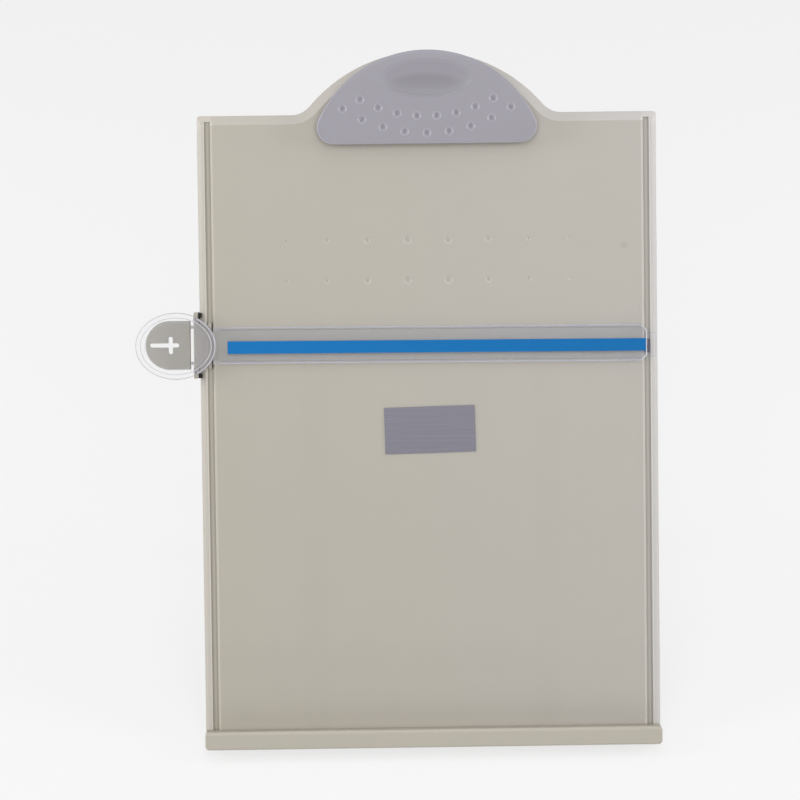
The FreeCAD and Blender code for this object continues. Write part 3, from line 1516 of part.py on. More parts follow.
def main():
    pieces = [
        make_front_panel(),
        make_document_ledge(),
        make_ledge_screws(),
        make_name_plate(),
        make_foot("left_foot"),
        make_foot("right_foot"),
        make_clip_bracket(),
        make_clip_rivets(),
        make_clip_pin(),
        make_clip_spring(),
        make_paper_clip(),
        make_clip_jaw_pad(),
        make_stand_rod(),
        make_stand_leg(),
        make_stand_foot(),
        make_guide_carriage(),
        make_brake_pad(),
        make_thumb_plate(),
        make_thumb_plate_pins(),
        make_guide_hinge_pin(),
        make_guide_springs(),
        make_line_guide(),
        make_reading_line(),
        make_end_glide(),
    ]
    frame = place_pieces(pieces)
    check_document(pieces)
    os.makedirs("parts", exist_ok=True)
    for piece in pieces:
        piece.Shape.exportStep("parts/" + piece.Label + ".step")
        print(piece.Label, "solids", len(piece.Shape.Solids), "volume", round(piece.Shape.Volume, 1))
    print("board frame", [round(value, 4) for value in frame.Base], "lean", SIZES["lean_angle"])


main()
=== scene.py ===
import json
import math

import bpy
from mathutils import Matrix, Vector


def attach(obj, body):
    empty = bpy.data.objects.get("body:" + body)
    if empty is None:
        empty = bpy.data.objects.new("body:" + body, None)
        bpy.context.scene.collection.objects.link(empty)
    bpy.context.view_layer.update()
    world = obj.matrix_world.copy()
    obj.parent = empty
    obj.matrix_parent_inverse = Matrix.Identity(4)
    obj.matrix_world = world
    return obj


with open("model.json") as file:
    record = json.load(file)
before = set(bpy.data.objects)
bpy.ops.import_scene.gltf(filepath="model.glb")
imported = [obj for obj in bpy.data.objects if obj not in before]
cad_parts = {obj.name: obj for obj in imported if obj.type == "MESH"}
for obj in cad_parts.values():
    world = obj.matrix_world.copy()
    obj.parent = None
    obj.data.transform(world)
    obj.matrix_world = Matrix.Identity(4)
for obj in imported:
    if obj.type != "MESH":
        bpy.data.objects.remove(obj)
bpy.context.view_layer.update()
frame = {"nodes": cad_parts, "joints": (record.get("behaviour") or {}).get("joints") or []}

# The board's own frame, as part of the row: origin at the middle of the panel's foot, on its face.
# right runs along the ledge, up runs up the leaning face, out points from the face to the reader.
BOARD_HALF_WIDTH = 0.114
GUIDE_LEVEL = 0.1932
BOARD_HEIGHT = 0.307

slide = next(joint for joint in frame["joints"] if joint["name"] == "guide_slide")
right = Vector((1.0, 0.0, 0.0))
up = Vector(slide["axis"]).normalized()
out = right.cross(up)
foot = Vector(slide["pos_m"]) - up * GUIDE_LEVEL + right * BOARD_HALF_WIDTH
lean = math.atan2(up.y, up.z)


def on_board(across, level, height):
    """A place given across the board, up its face and out from it, in the row frame."""
    return foot + right * across + up * level + out * height


def board_direction(across, level, height):
    """A direction given by its parts across the board, up its face and out from it."""
    return (right * across + up * level + out * height).normalized()


def srgb(red, green, blue):
    """A linear colour from 8-bit display values."""
    def linear(value):
        share = value / 255.0
        if share <= 0.04045:
            return share / 12.92
        return ((share + 0.055) / 1.055) ** 2.4
    return (linear(red), linear(green), linear(blue), 1.0)


# Node trees of the materials

EDGE_SAMPLES = 8
EDGE_TURN = (0.85, 0.995)
BUMP_EDGE_SAMPLES = 6


class Graph:
    """A material's node tree, with short calls for the nodes used here."""

    def __init__(self, name):
        self.material = bpy.data.materials.new(name)
        self.material.use_nodes = True
        self.tree = self.material.node_tree
        self.shader = self.tree.nodes["Principled BSDF"]
        self.output = self.tree.nodes["Material Output"]

    def add(self, kind, **settings):
        node = self.tree.nodes.new(kind)
        for name, value in settings.items():
            setattr(node, name, value)
        return node

    def link(self, source, target):
        self.tree.links.new(source, target)

    def feed(self, value, socket):
        """Link a socket to the value, or write the value into it if it is a plain number."""
        if isinstance(value, (int, float)):
            socket.default_value = value
        else:
            self.link(value, socket)

    def set(self, **values):
        """Set the shader's own sockets; an underscore stands for a space."""
        for name, value in values.items():
            self.shader.inputs[name.replace("_", " ")].default_value = value

    def place(self):
        """Coordinates on the upright board, in metres: across, back from the face, up."""
        coordinates = self.add("ShaderNodeTexCoord")
        turn = self.add("ShaderNodeMapping", vector_type="POINT")
        turn.inputs["Rotation"].default_value = (lean, 0.0, 0.0)
        turn.inputs["Location"].default_value = -(Matrix.Rotation(lean, 3, "X") @ foot)
        self.link(coordinates.outputs["Object"], turn.inputs["Vector"])
        return turn.outputs["Vector"]

    def split(self, vector):
        """The three parts of a vector."""
        node = self.add("ShaderNodeSeparateXYZ")
        self.link(vector, node.inputs["Vector"])
        return node.outputs["X"], node.outputs["Y"], node.outputs["Z"]

    def stretched(self, vector, scale):
        stretch = self.add("ShaderNodeMapping", vector_type="POINT")
        stretch.inputs["Scale"].default_value = scale
        self.link(vector, stretch.inputs["Vector"])
        return stretch.outputs["Vector"]

    def noise(self, vector, scale, detail=3.0, roughness=0.5):
        node = self.add("ShaderNodeTexNoise")
        node.inputs["Scale"].default_value = scale
        node.inputs["Detail"].default_value = detail
        node.inputs["Roughness"].default_value = roughness
        self.link(vector, node.inputs["Vector"])
        return node.outputs["Fac"]

    def ranged(self, value, low, high, smooth=False, source=(0.0, 1.0)):
        """A value that goes from low to high while the given one crosses the source range."""
        node = self.add("ShaderNodeMapRange")
        if smooth:
            node.interpolation_type = "SMOOTHSTEP"
        node.inputs["From Min"].default_value = source[0]
        node.inputs["From Max"].default_value = source[1]
        node.inputs["To Min"].default_value = low
        node.inputs["To Max"].default_value = high
        self.link(value, node.inputs["Value"])
        return node.outputs["Result"]

    def math(self, operation, first, second=None):
        node = self.add("ShaderNodeMath", operation=operation)
        for socket, value in zip(node.inputs, (first, second)):
            if value is not None:
                self.feed(value, socket)
        return node.outputs["Value"]

    def product(self, *factors):
        """All the factors multiplied together."""
        result = factors[0]
        for factor in factors[1:]:
            result = self.math("MULTIPLY", result, factor)
        return result

    def minus(self, first, second):
        return self.math("SUBTRACT", first, second)

    def larger(self, first, second):
        """The larger of two values."""
        return self.math("MAXIMUM", first, second)

    def beyond(self, value, limit):
        """One where the value is greater than the limit and nought elsewhere."""
        return self.math("GREATER_THAN", value, limit)

    def below(self, value, limit):
        """One where the value is less than the limit and nought elsewhere."""
        return self.math("LESS_THAN", value, limit)

    def squared_length(self, first, second):
        """The squares of two parts added up."""
        return self.math("ADD", self.product(first, first), self.product(second, second))

    def oval_reach(self, across, level, centre, half):
        """The square of the distance from an oval's centre: one on its outline."""
        aside = self.math("DIVIDE", self.minus(across, centre[0]), half[0])
        above = self.math("DIVIDE", self.minus(level, centre[1]), half[1])
        return self.squared_length(aside, above)

    def band(self, value, centre, half, soft):
        """One where the value is within half of the centre, falling to nought over the soft width."""
        away = self.math("ABSOLUTE", self.minus(value, centre))
        return self.ranged(away, 1.0, 0.0, smooth=True, source=(half, half + soft))

    def slope(self, low, high):
        """Nought on faces that lie along the board and one on steep ones, whatever pose the piece is in."""
        coordinates = self.add("ShaderNodeTexCoord")
        turn = self.add("ShaderNodeVectorMath", operation="DOT_PRODUCT")
        self.link(coordinates.outputs["Normal"], turn.inputs[0])
        turn.inputs[1].default_value = out
        level = self.math("ABSOLUTE", turn.outputs["Value"])
        return self.ranged(level, 1.0, 0.0, smooth=True, source=(1.0 - high, 1.0 - low))

    def edge(self, radius):
        """One along the piece's edges and nought on its open faces, as a bevel would turn the normal."""
        bevel = self.add("ShaderNodeBevel", samples=EDGE_SAMPLES)
        bevel.inputs["Radius"].default_value = radius
        geometry = self.add("ShaderNodeNewGeometry")
        turn = self.add("ShaderNodeVectorMath", operation="DOT_PRODUCT")
        self.link(bevel.outputs["Normal"], turn.inputs[0])
        self.link(geometry.outputs["Normal"], turn.inputs[1])
        return self.ranged(turn.outputs["Value"], 1.0, 0.0, smooth=True, source=EDGE_TURN)

    def blend(self, share, first, second):
        """A number that goes from the first to the second as the share grows."""
        node = self.add("ShaderNodeMix", data_type="FLOAT")
        sockets = (node.inputs[0], node.inputs[2], node.inputs[3])
        for socket, value in zip(sockets, (share, first, second)):
            self.feed(value, socket)
        return node.outputs[0]

    def shaded(self, share, first, second):
        """A colour that goes from the first to the second as the share grows."""
        node = self.add("ShaderNodeMix", data_type="RGBA")
        self.link(share, node.inputs["Factor"])
        for name, colour in (("A", first), ("B", second)):
            if isinstance(colour, tuple):
                node.inputs[name].default_value = colour
            else:
                self.link(colour, node.inputs[name])
        return node.outputs["Result"]

    def paint(self, colour, factor):
        """Colour the piece with a colour, written out or from a socket, times a varying factor near one."""
        node = self.add("ShaderNodeVectorMath", operation="SCALE")
        if isinstance(colour, tuple):
            node.inputs[0].default_value = colour[:3]
        else:
            self.link(colour, node.inputs[0])
        self.link(factor, node.inputs["Scale"])
        self.link(node.outputs["Vector"], self.shader.inputs["Base Color"])

    def gloss(self, value, low, high):
        """Let the roughness go from low to high with the value."""
        self.link(self.ranged(value, low, high), self.shader.inputs["Roughness"])

    def bump(self, height, distance, strength, soft_edge=0.0):
        """Raise the surface by a value times the distance, with edges that look rounded if asked."""
        node = self.add("ShaderNodeBump")
        node.inputs["Strength"].default_value = strength
        node.inputs["Distance"].default_value = distance
        self.link(height, node.inputs["Height"])
        if soft_edge:
            bevel = self.add("ShaderNodeBevel", samples=BUMP_EDGE_SAMPLES)
            bevel.inputs["Radius"].default_value = soft_edge
            self.link(bevel.outputs["Normal"], node.inputs["Normal"])
        self.link(node.outputs["Normal"], self.shader.inputs["Normal"])


# Moulded plastics

MOTTLE_SCALE = 45.0
GRAIN_SCALE = 2600.0
GRAIN_DETAIL = 2.0
GRAIN_HEIGHT = 0.00002
GRAIN_STRENGTH = 0.5
EDGE_SOFTNESS = 0.00035
PANEL_EDGE_SOFTNESS = 0.0007

BEIGE = srgb(187, 181, 168)
BEIGE_GLOSS = (0.31, 0.44)


class Plastic(Graph):
    """Satin moulded plastic with a fine grain and faint mottling, worked out in the board's coordinates."""

    def __init__(self, name):
        super().__init__(name)
        self.spot = self.place()
        self.across, self.back, self.level = self.split(self.spot)
        self.mottle = self.noise(self.spot, MOTTLE_SCALE)
        self.grain = self.noise(self.spot, GRAIN_SCALE, detail=GRAIN_DETAIL)

    def mottled(self, share):
        """A factor that wanders by the share to both sides of one."""
        return self.ranged(self.mottle, 1.0 - share, 1.0 + share)

    def finished(self, colour, factor, gloss, softness=EDGE_SOFTNESS):
        """The material with its colour, gloss, grain and slightly soft edges."""
        self.paint(colour, factor)
        self.gloss(self.grain, *gloss)
        self.bump(self.grain, GRAIN_HEIGHT, GRAIN_STRENGTH, softness)
        return self.material


def moulded_plastic(name, colour, gloss, mottling=0.02):
    """Plain plastic, with no wear of its own."""
    graph = Plastic(name)
    return graph.finished(colour, graph.mottled(mottling), gloss)


# Slopes are pairs for Graph.slope; bands hold a centre, a half width and a soft width, in metres.
LEDGE_MOTTLING = 0.02
SHELF_SLOPE = (0.75, 0.85)
SHELF_LEVEL = -0.0006
SHELF_SHADE = 0.92
ROUNDED_SLOPE = (0.04, 0.2)
FRONT_SLOPE = (0.1, 0.3)
LIP_GLEAM = (-0.0002, 0.0003, 0.0004)
LEDGE_HIGHLIGHT_GAIN = 1.09
LEDGE_FOOT = (-0.0082, -0.0070)
LEDGE_FOOT_SHADE = 0.95


def make_ledge_beige():
    """The ledge's plastic, with a painted highlight along its rounded edges and the top of its lip, painted
    shade on the shelf behind its lip, and darker towards its foot.
    """
    graph = Plastic("ledge_plastic")
    steep = graph.slope(*SHELF_SLOPE)
    rounded = graph.minus(graph.slope(*ROUNDED_SLOPE), steep)
    front = graph.minus(1.0, graph.slope(*FRONT_SLOPE))
    gleam = graph.product(graph.band(graph.level, *LIP_GLEAM), front)
    # Painted highlight along the rounded edges and the top of the lip.
    painted_highlight = graph.ranged(graph.larger(rounded, gleam), 1.0, LEDGE_HIGHLIGHT_GAIN)
    # Painted shade on the shelf behind the lip.
    on_shelf = graph.product(steep, graph.beyond(graph.level, SHELF_LEVEL))
    for_painted_shade = graph.ranged(on_shelf, 1.0, SHELF_SHADE)
    foot_shade = graph.ranged(graph.level, LEDGE_FOOT_SHADE, 1.0, smooth=True, source=LEDGE_FOOT)
    factor = graph.product(graph.mottled(LEDGE_MOTTLING), painted_highlight, for_painted_shade, foot_shade)
    return graph.finished(BEIGE, factor, BEIGE_GLOSS)


PANEL_MOTTLING = 0.015
PANEL_GLOSS = (0.32, 0.44)
FACE_TONES = (srgb(184, 178, 165), srgb(186, 181, 173))
HIGHLIGHT_TONES = (srgb(198, 192, 182), srgb(201, 198, 195))
HIGHLIGHT_SLOPE = (0.03, 0.08)
RIM_START = 0.1104
TOP_BEVEL = (0.299, 0.303)
TOP_BEVEL_LIGHT = 1.05
RAIL_SINK = (0.058, 0.004, 0.005)
RAIL_SINK_END = (0.12, 0.26)
BAR_SINK = (0.035, 0.006, 0.005)
SINK_SHADE = 0.985
DARK_SPOT = (0.0978, 0.0, 0.2405)
DARK_SPOT_EDGE = (0.0012, 0.0022)
DARK_SPOT_SHADE = 0.90
GROOVE_FLOOR = 0.0008
GROOVE_INNER = 0.107
GROOVE_END = 0.3042
TRACK_SLOPE = (0.02, 0.4)
GROOVE_FLOOR_LIGHT = 1.10
# Painted lines along each groove, highlight on its lips and shade in its corners: how far across, half width
# and shade.
GROOVE_LINES = (
    (0.10698, 0.00038, 1.22),
    (0.10800, 0.00025, 0.82),
    (0.10985, 0.00025, 0.74),
    (0.11068, 0.00026, 1.12),
)


def make_panel_beige():
    """The panel's plastic: warmer to the left, with a painted highlight on its slopes, rims and top bevel,
    faint sink marks of the ribs behind, painted light on the groove floors, painted highlight lines on the
    grooves' lips and painted shade lines in their corners, and one small dark spot."""
    graph = Plastic("panel_plastic")
    aside = graph.math("ABSOLUTE", graph.across)
    below_rod = graph.ranged(graph.level, 1.0, 0.0, smooth=True, source=RAIL_SINK_END)
    rail = graph.product(graph.band(aside, *RAIL_SINK), below_rod)
    sink = graph.ranged(graph.larger(rail, graph.band(graph.level, *BAR_SINK)), 1.0, SINK_SHADE)

    from_spot = graph.add("ShaderNodeVectorMath", operation="DISTANCE")
    graph.link(graph.spot, from_spot.inputs[0])
    from_spot.inputs[1].default_value = DARK_SPOT
    away = from_spot.outputs["Value"]
    speck = graph.ranged(away, DARK_SPOT_SHADE, 1.0, smooth=True, source=DARK_SPOT_EDGE)

    # Painted light on the flat floors of the grooves.
    in_groove = graph.product(graph.beyond(graph.back, GROOVE_FLOOR), graph.beyond(aside, GROOVE_INNER))
    flat = graph.minus(1.0, graph.slope(*TRACK_SLOPE))
    floor_light = graph.ranged(graph.product(in_groove, flat), 1.0, GROOVE_FLOOR_LIGHT)
    factor = graph.product(graph.mottled(PANEL_MOTTLING), sink, speck, floor_light)
    below_end = graph.below(graph.level, GROOVE_END)
    # Painted highlight lines on the grooves' lips and painted shade lines in their corners.
    for centre, half, shade in GROOVE_LINES:
        line = graph.product(graph.band(aside, centre, half, half), below_end)
        factor = graph.product(factor, graph.ranged(line, 1.0, shade))

    # Painted highlight: a paler, more neutral tone on the slopes and rims, brighter still on the top bevel.
    highlighted = graph.larger(graph.slope(*HIGHLIGHT_SLOPE), graph.beyond(aside, RIM_START))
    at_top = graph.ranged(graph.level, 0.0, 1.0, smooth=True, source=TOP_BEVEL)
    factor = graph.product(factor, graph.ranged(graph.product(highlighted, at_top), 1.0, TOP_BEVEL_LIGHT))
    to_right = graph.ranged(graph.across, 0.0, 1.0, source=(-BOARD_HALF_WIDTH, BOARD_HALF_WIDTH))
    face_tone = graph.shaded(to_right, *FACE_TONES)
    highlight_tone = graph.shaded(to_right, *HIGHLIGHT_TONES)
    tone = graph.shaded(highlighted, face_tone, highlight_tone)
    return graph.finished(tone, factor, PANEL_GLOSS, PANEL_EDGE_SOFTNESS)


MAUVE = srgb(159, 156, 165)
MAUVE_GLOSS = (0.27, 0.38)
CLIP_MOTTLING = 0.02
CLIP_FACE_NORMAL = (0.0, 0.9917, 0.1288)
CLIP_FACE_OFFSET = 0.030681
CLIP_FRONT_DEPTH = 0.0012
CLIP_BORDER_SLOPE = (0.03, 0.2)
CLIP_BORDER_LIGHT = 1.25
SCOOP_CENTRE = (0.0, 0.3209)
SCOOP_HALF = (0.0215, 0.0066)
SCOOP_EDGE = (0.3, 1.1)
SCOOP_SHADE = 0.85
SCOOP_RIM = (0.00012, 0.00008, 0.00008)
SCOOP_RIM_LIGHT = 1.05
# The pits lie on arcs about one centre. Each row has its radius, its shift in pitches and its half width.
PIT_CENTRE_LEVEL = 0.3741
PIT_PITCH = math.radians(8.23)
PIT_ROWS = (
    (0.0766, 0.0, 0.046),
    (0.0683, 0.5, 0.037),
)
PIT_STRETCH = 1.9
PIT_EDGE = (0.0004, 0.0015)
PIT_SHADE = 0.77
PIT_LIP = (0.00205, 0.00018, 0.0003)
PIT_LIP_LIGHT = 1.05


def from_pits(graph, radius, shift, stretch):
    """Distance from the nearest pit of a row that lies along an arc, stretched along the row if asked."""
    down = graph.minus(PIT_CENTRE_LEVEL, graph.level)
    reach = graph.math("SQRT", graph.squared_length(graph.across, down))
    pitches = graph.math("DIVIDE", graph.math("ARCTAN2", graph.across, down), PIT_PITCH)
    turn = graph.math("ADD", pitches, shift)
    aside = graph.product(graph.minus(turn, graph.math("ROUND", turn)), radius * PIT_PITCH * stretch)
    above = graph.minus(reach, radius)
    return graph.math("SQRT", graph.squared_length(aside, above))


def make_mauve():
    """The clip's plastic, with painted shade low in its scoop, a painted highlight on the scoop's rim and its
    rounded borders, and painted shade in its pits with a painted highlight on their lips.
    """
    graph = Plastic("mauve_plastic")
    # Painted shade low in the scoop, and a painted highlight along its rim and the clip's rounded borders.
    reach = graph.oval_reach(graph.across, graph.level, SCOOP_CENTRE, SCOOP_HALF)
    painted_scoop_shade = graph.ranged(reach, SCOOP_SHADE, 1.0, smooth=True, source=SCOOP_EDGE)
    sunk = graph.add("ShaderNodeVectorMath", operation="DOT_PRODUCT")
    graph.link(graph.spot, sunk.inputs[0])
    sunk.inputs[1].default_value = CLIP_FACE_NORMAL
    depth = graph.minus(sunk.outputs["Value"], CLIP_FACE_OFFSET)
    scoop_highlight = graph.ranged(graph.band(depth, *SCOOP_RIM), 1.0, SCOOP_RIM_LIGHT)
    border_highlight = graph.ranged(graph.slope(*CLIP_BORDER_SLOPE), 1.0, CLIP_BORDER_LIGHT)
    factor = graph.product(graph.mottled(CLIP_MOTTLING), painted_scoop_shade, scoop_highlight, border_highlight)

    on_front = graph.below(depth, CLIP_FRONT_DEPTH)
    for radius, shift, half_row in PIT_ROWS:
        in_row = graph.product(on_front, graph.below(graph.math("ABSOLUTE", graph.across), half_row))
        # Painted shade in each pit, and a painted highlight on its lip.
        for_painted_shade = from_pits(graph, radius, shift, PIT_STRETCH)
        shaded_pit = graph.product(graph.ranged(for_painted_shade, 1.0, 0.0, smooth=True, source=PIT_EDGE), in_row)
        lit_lip = graph.product(graph.band(from_pits(graph, radius, shift, 1.0), *PIT_LIP), in_row)
        factor = graph.product(factor, graph.ranged(shaded_pit, 1.0, PIT_SHADE))
        factor = graph.product(factor, graph.ranged(lit_lip, 1.0, PIT_LIP_LIGHT))
    return graph.finished(MAUVE, factor, MAUVE_GLOSS)


# Clear plastics

# The guide's outlines on the board: the oval head, the carriage seen through it, the slanting strip and tail.
HEAD_CENTRE = (-0.1258, 0.193257)
HEAD_HALF = (0.0201, 0.0166)
HEAD_END = (-0.1080, -0.1060)
HEAD_TONE_EDGE = (1.0, 1.1)
WEB_START = -0.1166
WEB_EDGE = (0.97, 1.0)
GUIDE_SLANT = 0.00472
STRIP_START = -0.1040
STRIP_END = 0.1055
TAIL_START = (0.1083, 0.1089)

PALE_LINE = (0.00880, 0.00012, 0.00022)
DARK_LINE = (0.00775, 0.00010, 0.00025)
CLEAR_EDGE = 0.0007
ROUNDING_SLOPE = (0.02, 0.4)
ROUNDING_START = (0.84, 0.90)
CONTOUR = (1.0, 0.02, 0.02)
CONTOUR_SLOPE = (0.3, 0.8)

HEAD_VEIL = 0.04
STRIP_VEIL = 0.062
WEB_VEIL = 0.31
DARK_LINE_DENSITY = 0.20
PALE_LINE_DENSITY = 0.75
EDGE_DENSITY = 0.6
CONTOUR_DENSITY = 0.85
STRIP_EDGE_SHARE = 0.35
TAIL_SHARE = 0.35

STRIP_TONE = srgb(148, 168, 210)
HEAD_TONE = srgb(196, 197, 208)
WEB_TONE = srgb(182, 180, 184)
DARK_LINE_TONE = srgb(118, 117, 128)
EDGE_HIGHLIGHT_TONE = srgb(218, 217, 226)
CONTOUR_TONE = srgb(150, 150, 154)

HAZE_SCALE = 60.0
HAZE_VEIL = (0.9, 1.1)
HAZE_TONE = (0.97, 1.03)
CLEAR_GLOSS = (0.14, 0.2)
CLEAR_REFRACTION = 1.49


def strip_level(across):
    """How far up the board the middle of the slightly drooping guide lies."""
    return HEAD_CENTRE[1] - GUIDE_SLANT * (across - HEAD_CENTRE[0])


def make_clear():
    """Clear plastic: a faint bluish veil on its faces, denser and greyer over the carriage as painted shade
    on the carriage seen through it, painted highlights as pale edge lines, and painted shade as dark lines
    inside the strip's long edges and a grey outline round the head.
    """
    graph = Graph("clear_plastic")
    place = graph.place()
    haze = graph.noise(place, HAZE_SCALE)
    across, _, level = graph.split(place)
    reach = graph.math("SQRT", graph.oval_reach(across, level, HEAD_CENTRE, HEAD_HALF))
    in_oval = graph.ranged(reach, 1.0, 0.0, smooth=True, source=WEB_EDGE)
    in_web = graph.product(in_oval, graph.beyond(across, WEB_START))
    in_head = graph.ranged(reach, 1.0, 0.0, smooth=True, source=HEAD_TONE_EDGE)
    tail = graph.ranged(across, 1.0, TAIL_SHARE, smooth=True, source=TAIL_START)

    drop = graph.product(graph.minus(across, HEAD_CENTRE[0]), GUIDE_SLANT)
    above = graph.math("ADD", graph.minus(level, HEAD_CENTRE[1]), drop)
    off_middle = graph.math("ABSOLUTE", above)
    along_strip = graph.product(graph.beyond(across, STRIP_START), graph.below(across, STRIP_END))
    # A painted highlight line near each long edge of the strip, and a painted shade line just inside it.
    pale_line = graph.product(graph.band(off_middle, *PALE_LINE), along_strip)
    dark_line = graph.product(graph.band(off_middle, *DARK_LINE), along_strip)

    veil = graph.ranged(across, HEAD_VEIL, STRIP_VEIL, smooth=True, source=HEAD_END)
    # Denser and greyer over the carriage: painted shade on the carriage seen through the head.
    veil = graph.product(graph.blend(in_web, veil, WEB_VEIL), graph.ranged(haze, *HAZE_VEIL), tail)
    veil = graph.blend(dark_line, veil, DARK_LINE_DENSITY)

    # Painted highlights: denser, pale lines along the edges and the rounding near the head's rim.
    near_rim = graph.ranged(reach, 0.0, 1.0, smooth=True, source=ROUNDING_START)
    rounding = graph.product(graph.slope(*ROUNDING_SLOPE), near_rim)
    edge = graph.product(graph.larger(graph.edge(CLEAR_EDGE), rounding), tail)
    edge = graph.product(edge, graph.ranged(along_strip, 1.0, STRIP_EDGE_SHARE))
    edge = graph.larger(edge, graph.ranged(pale_line, 0.0, PALE_LINE_DENSITY))
    # Painted shade: a dense grey outline round the head's edge.
    contour = graph.product(graph.band(reach, *CONTOUR), graph.slope(*CONTOUR_SLOPE))
    density = graph.blend(edge, veil, EDGE_DENSITY)
    graph.link(graph.blend(contour, density, CONTOUR_DENSITY), graph.shader.inputs["Alpha"])

    veil_tone = graph.shaded(in_head, STRIP_TONE, HEAD_TONE)
    veil_tone = graph.shaded(in_web, veil_tone, WEB_TONE)
    veil_tone = graph.shaded(dark_line, veil_tone, DARK_LINE_TONE)
    edge_tone = graph.shaded(contour, EDGE_HIGHLIGHT_TONE, CONTOUR_TONE)
    graph.paint(graph.shaded(edge, veil_tone, edge_tone), graph.ranged(haze, *HAZE_TONE))
    graph.gloss(haze, *CLEAR_GLOSS)
    graph.set(IOR=CLEAR_REFRACTION)
    return graph.material


BEAD_HIGHLIGHT_TONE = srgb(232, 231, 238)
BEAD_HAZE_SCALE = 300.0
BEAD_HAZE_TONE = (0.96, 1.03)
BEAD_DENSITY = (0.6, 0.8)
BEAD_GLOSS = (0.1, 0.2)


def make_bead_highlight():
    """The dense, near-white plastic of a thin moulded bead: a painted highlight for the bright line it shows.
    """
    graph = Graph("bead_painted_highlight")
    haze = graph.noise(graph.place(), BEAD_HAZE_SCALE)
    graph.paint(BEAD_HIGHLIGHT_TONE, graph.ranged(haze, *BEAD_HAZE_TONE))
    graph.link(graph.ranged(haze, *BEAD_DENSITY), graph.shader.inputs["Alpha"])
    graph.gloss(haze, *BEAD_GLOSS)
    return graph.material


# Printed line, metals and rubber

BLUE = srgb(4, 116, 186)
BLUE_FADE = (1.05, 0.90)
BLUE_STRETCH = (20.0, 900.0, 900.0)
BLUE_STREAKS = (0.95, 1.05)
BLUE_GLOSS = (0.35, 0.5)
BLUE_SHINE = 0.15


def make_blue():
    """The reading line's blue, a little paler to the left, with faint streaks along it."""
    graph = Graph("blue_line")
    place = graph.place()
    streak = graph.noise(graph.stretched(place, BLUE_STRETCH), 1.0)
    across, _, _ = graph.split(place)
    fade = graph.ranged(across, *BLUE_FADE, source=(-BOARD_HALF_WIDTH, BOARD_HALF_WIDTH))
    graph.paint(BLUE, graph.product(fade, graph.ranged(streak, *BLUE_STREAKS)))
    graph.gloss(streak, *BLUE_GLOSS)
    graph.set(Specular_IOR_Level=BLUE_SHINE)
    return graph.material


STREAK_DETAIL = 4.0
STREAK_ROUGHNESS = 0.65
STREAK_HEIGHT = 0.000015
STREAK_STRENGTH = 0.6
SPECK_SCALE = 1400.0
SPECK_DETAIL = 2.0
SPECK_SHARE = 0.03
EVEN_GRAIN = (400.0, 400.0, 400.0)
FINE_GRAIN = (800.0, 800.0, 800.0)
LONG_GRAIN = (25.0, 1500.0, 1500.0)


def brushed_metal(name, colour, gloss, along, strength, metallic=1.0):
    """Metal with a grain in its colour and its gloss, drawn out along the axis with the smallest scale."""
    graph = Graph(name)
    place = graph.place()
    drawn = graph.stretched(place, along)
    streak = graph.noise(drawn, 1.0, detail=STREAK_DETAIL, roughness=STREAK_ROUGHNESS)
    speck = graph.noise(place, SPECK_SCALE, detail=SPECK_DETAIL)
    streaks = graph.ranged(streak, 1.0 - strength, 1.0 + strength)
    specks = graph.ranged(speck, -SPECK_SHARE, SPECK_SHARE)
    graph.paint(colour, graph.math("ADD", streaks, specks))
    graph.gloss(streak, *gloss)
    graph.set(Metallic=metallic)
    graph.bump(streak, STREAK_HEIGHT, STREAK_STRENGTH)
    return graph.material


RUBBER_BLACK = srgb(26, 25, 25)
BLOOM_SCALE = 260.0
BLOOM_SHADES = (0.8, 1.25)
RUBBER_GLOSS = (0.6, 0.8)
RUBBER_HEIGHT = 0.00004
RUBBER_STRENGTH = 0.5


def make_rubber():
    """Black rubber with a faint grey bloom."""
    graph = Graph("black_rubber")
    bloom = graph.noise(graph.place(), BLOOM_SCALE)
    graph.paint(RUBBER_BLACK, graph.ranged(bloom, *BLOOM_SHADES))
    graph.gloss(bloom, *RUBBER_GLOSS)
    graph.bump(bloom, RUBBER_HEIGHT, RUBBER_STRENGTH, EDGE_SOFTNESS)
    return graph.material


# Each piece's own finish

beige = moulded_plastic("beige_plastic", BEIGE, BEIGE_GLOSS)
grip = moulded_plastic("grip_plastic", srgb(176, 172, 164), BEIGE_GLOSS)
nylon = moulded_plastic("grey_nylon", srgb(92, 90, 102), (0.40, 0.53), mottling=0.1)
zinc = brushed_metal("zinc_steel", srgb(196, 196, 200), (0.24, 0.42), EVEN_GRAIN, 0.06)
wire = brushed_metal("spring_wire", srgb(150, 150, 152), (0.22, 0.40), FINE_GRAIN, 0.08)
plate = brushed_metal("plate_metal", srgb(121, 120, 130), (0.30, 0.48), LONG_GRAIN, 0.24, metallic=0.6)
rubber = make_rubber()
bead_finish = make_bead_highlight()
finishes = {
    "front_panel": make_panel_beige(),
    "document_ledge": make_ledge_beige(),
    "ledge_screws": zinc,
    "name_plate": plate,
    "left_foot": rubber,
    "right_foot": rubber,
    "stand_foot": rubber,
    "clip_bracket": zinc,
    "clip_rivets": zinc,
    "clip_pin": zinc,
    "clip_spring": wire,
    "paper_clip": make_mauve(),
    "clip_jaw_pad": rubber,
    "stand_rod": zinc,
    "stand_leg": beige,
    "guide_carriage": beige,
    # Black rubber brake pad: a real friction pad, and also a dark piece standing for the deep shade inside
    # the carriage.
    "brake_pad": rubber,
    "thumb_plate": grip,
    "thumb_plate_pins": zinc,
    "guide_hinge_pin": zinc,
    "guide_springs": wire,
    "line_guide": make_clear(),
    "reading_line": make_blue(),
    "end_glide": nylon,
}
for node_name, finish in finishes.items():
    mesh = frame["nodes"][node_name].data
    mesh.materials.clear()
    mesh.materials.append(finish)
    for polygon in mesh.polygons:
        polygon.material_index = 0

# Beads moulded on the clear guide, coloured near-white as painted highlights

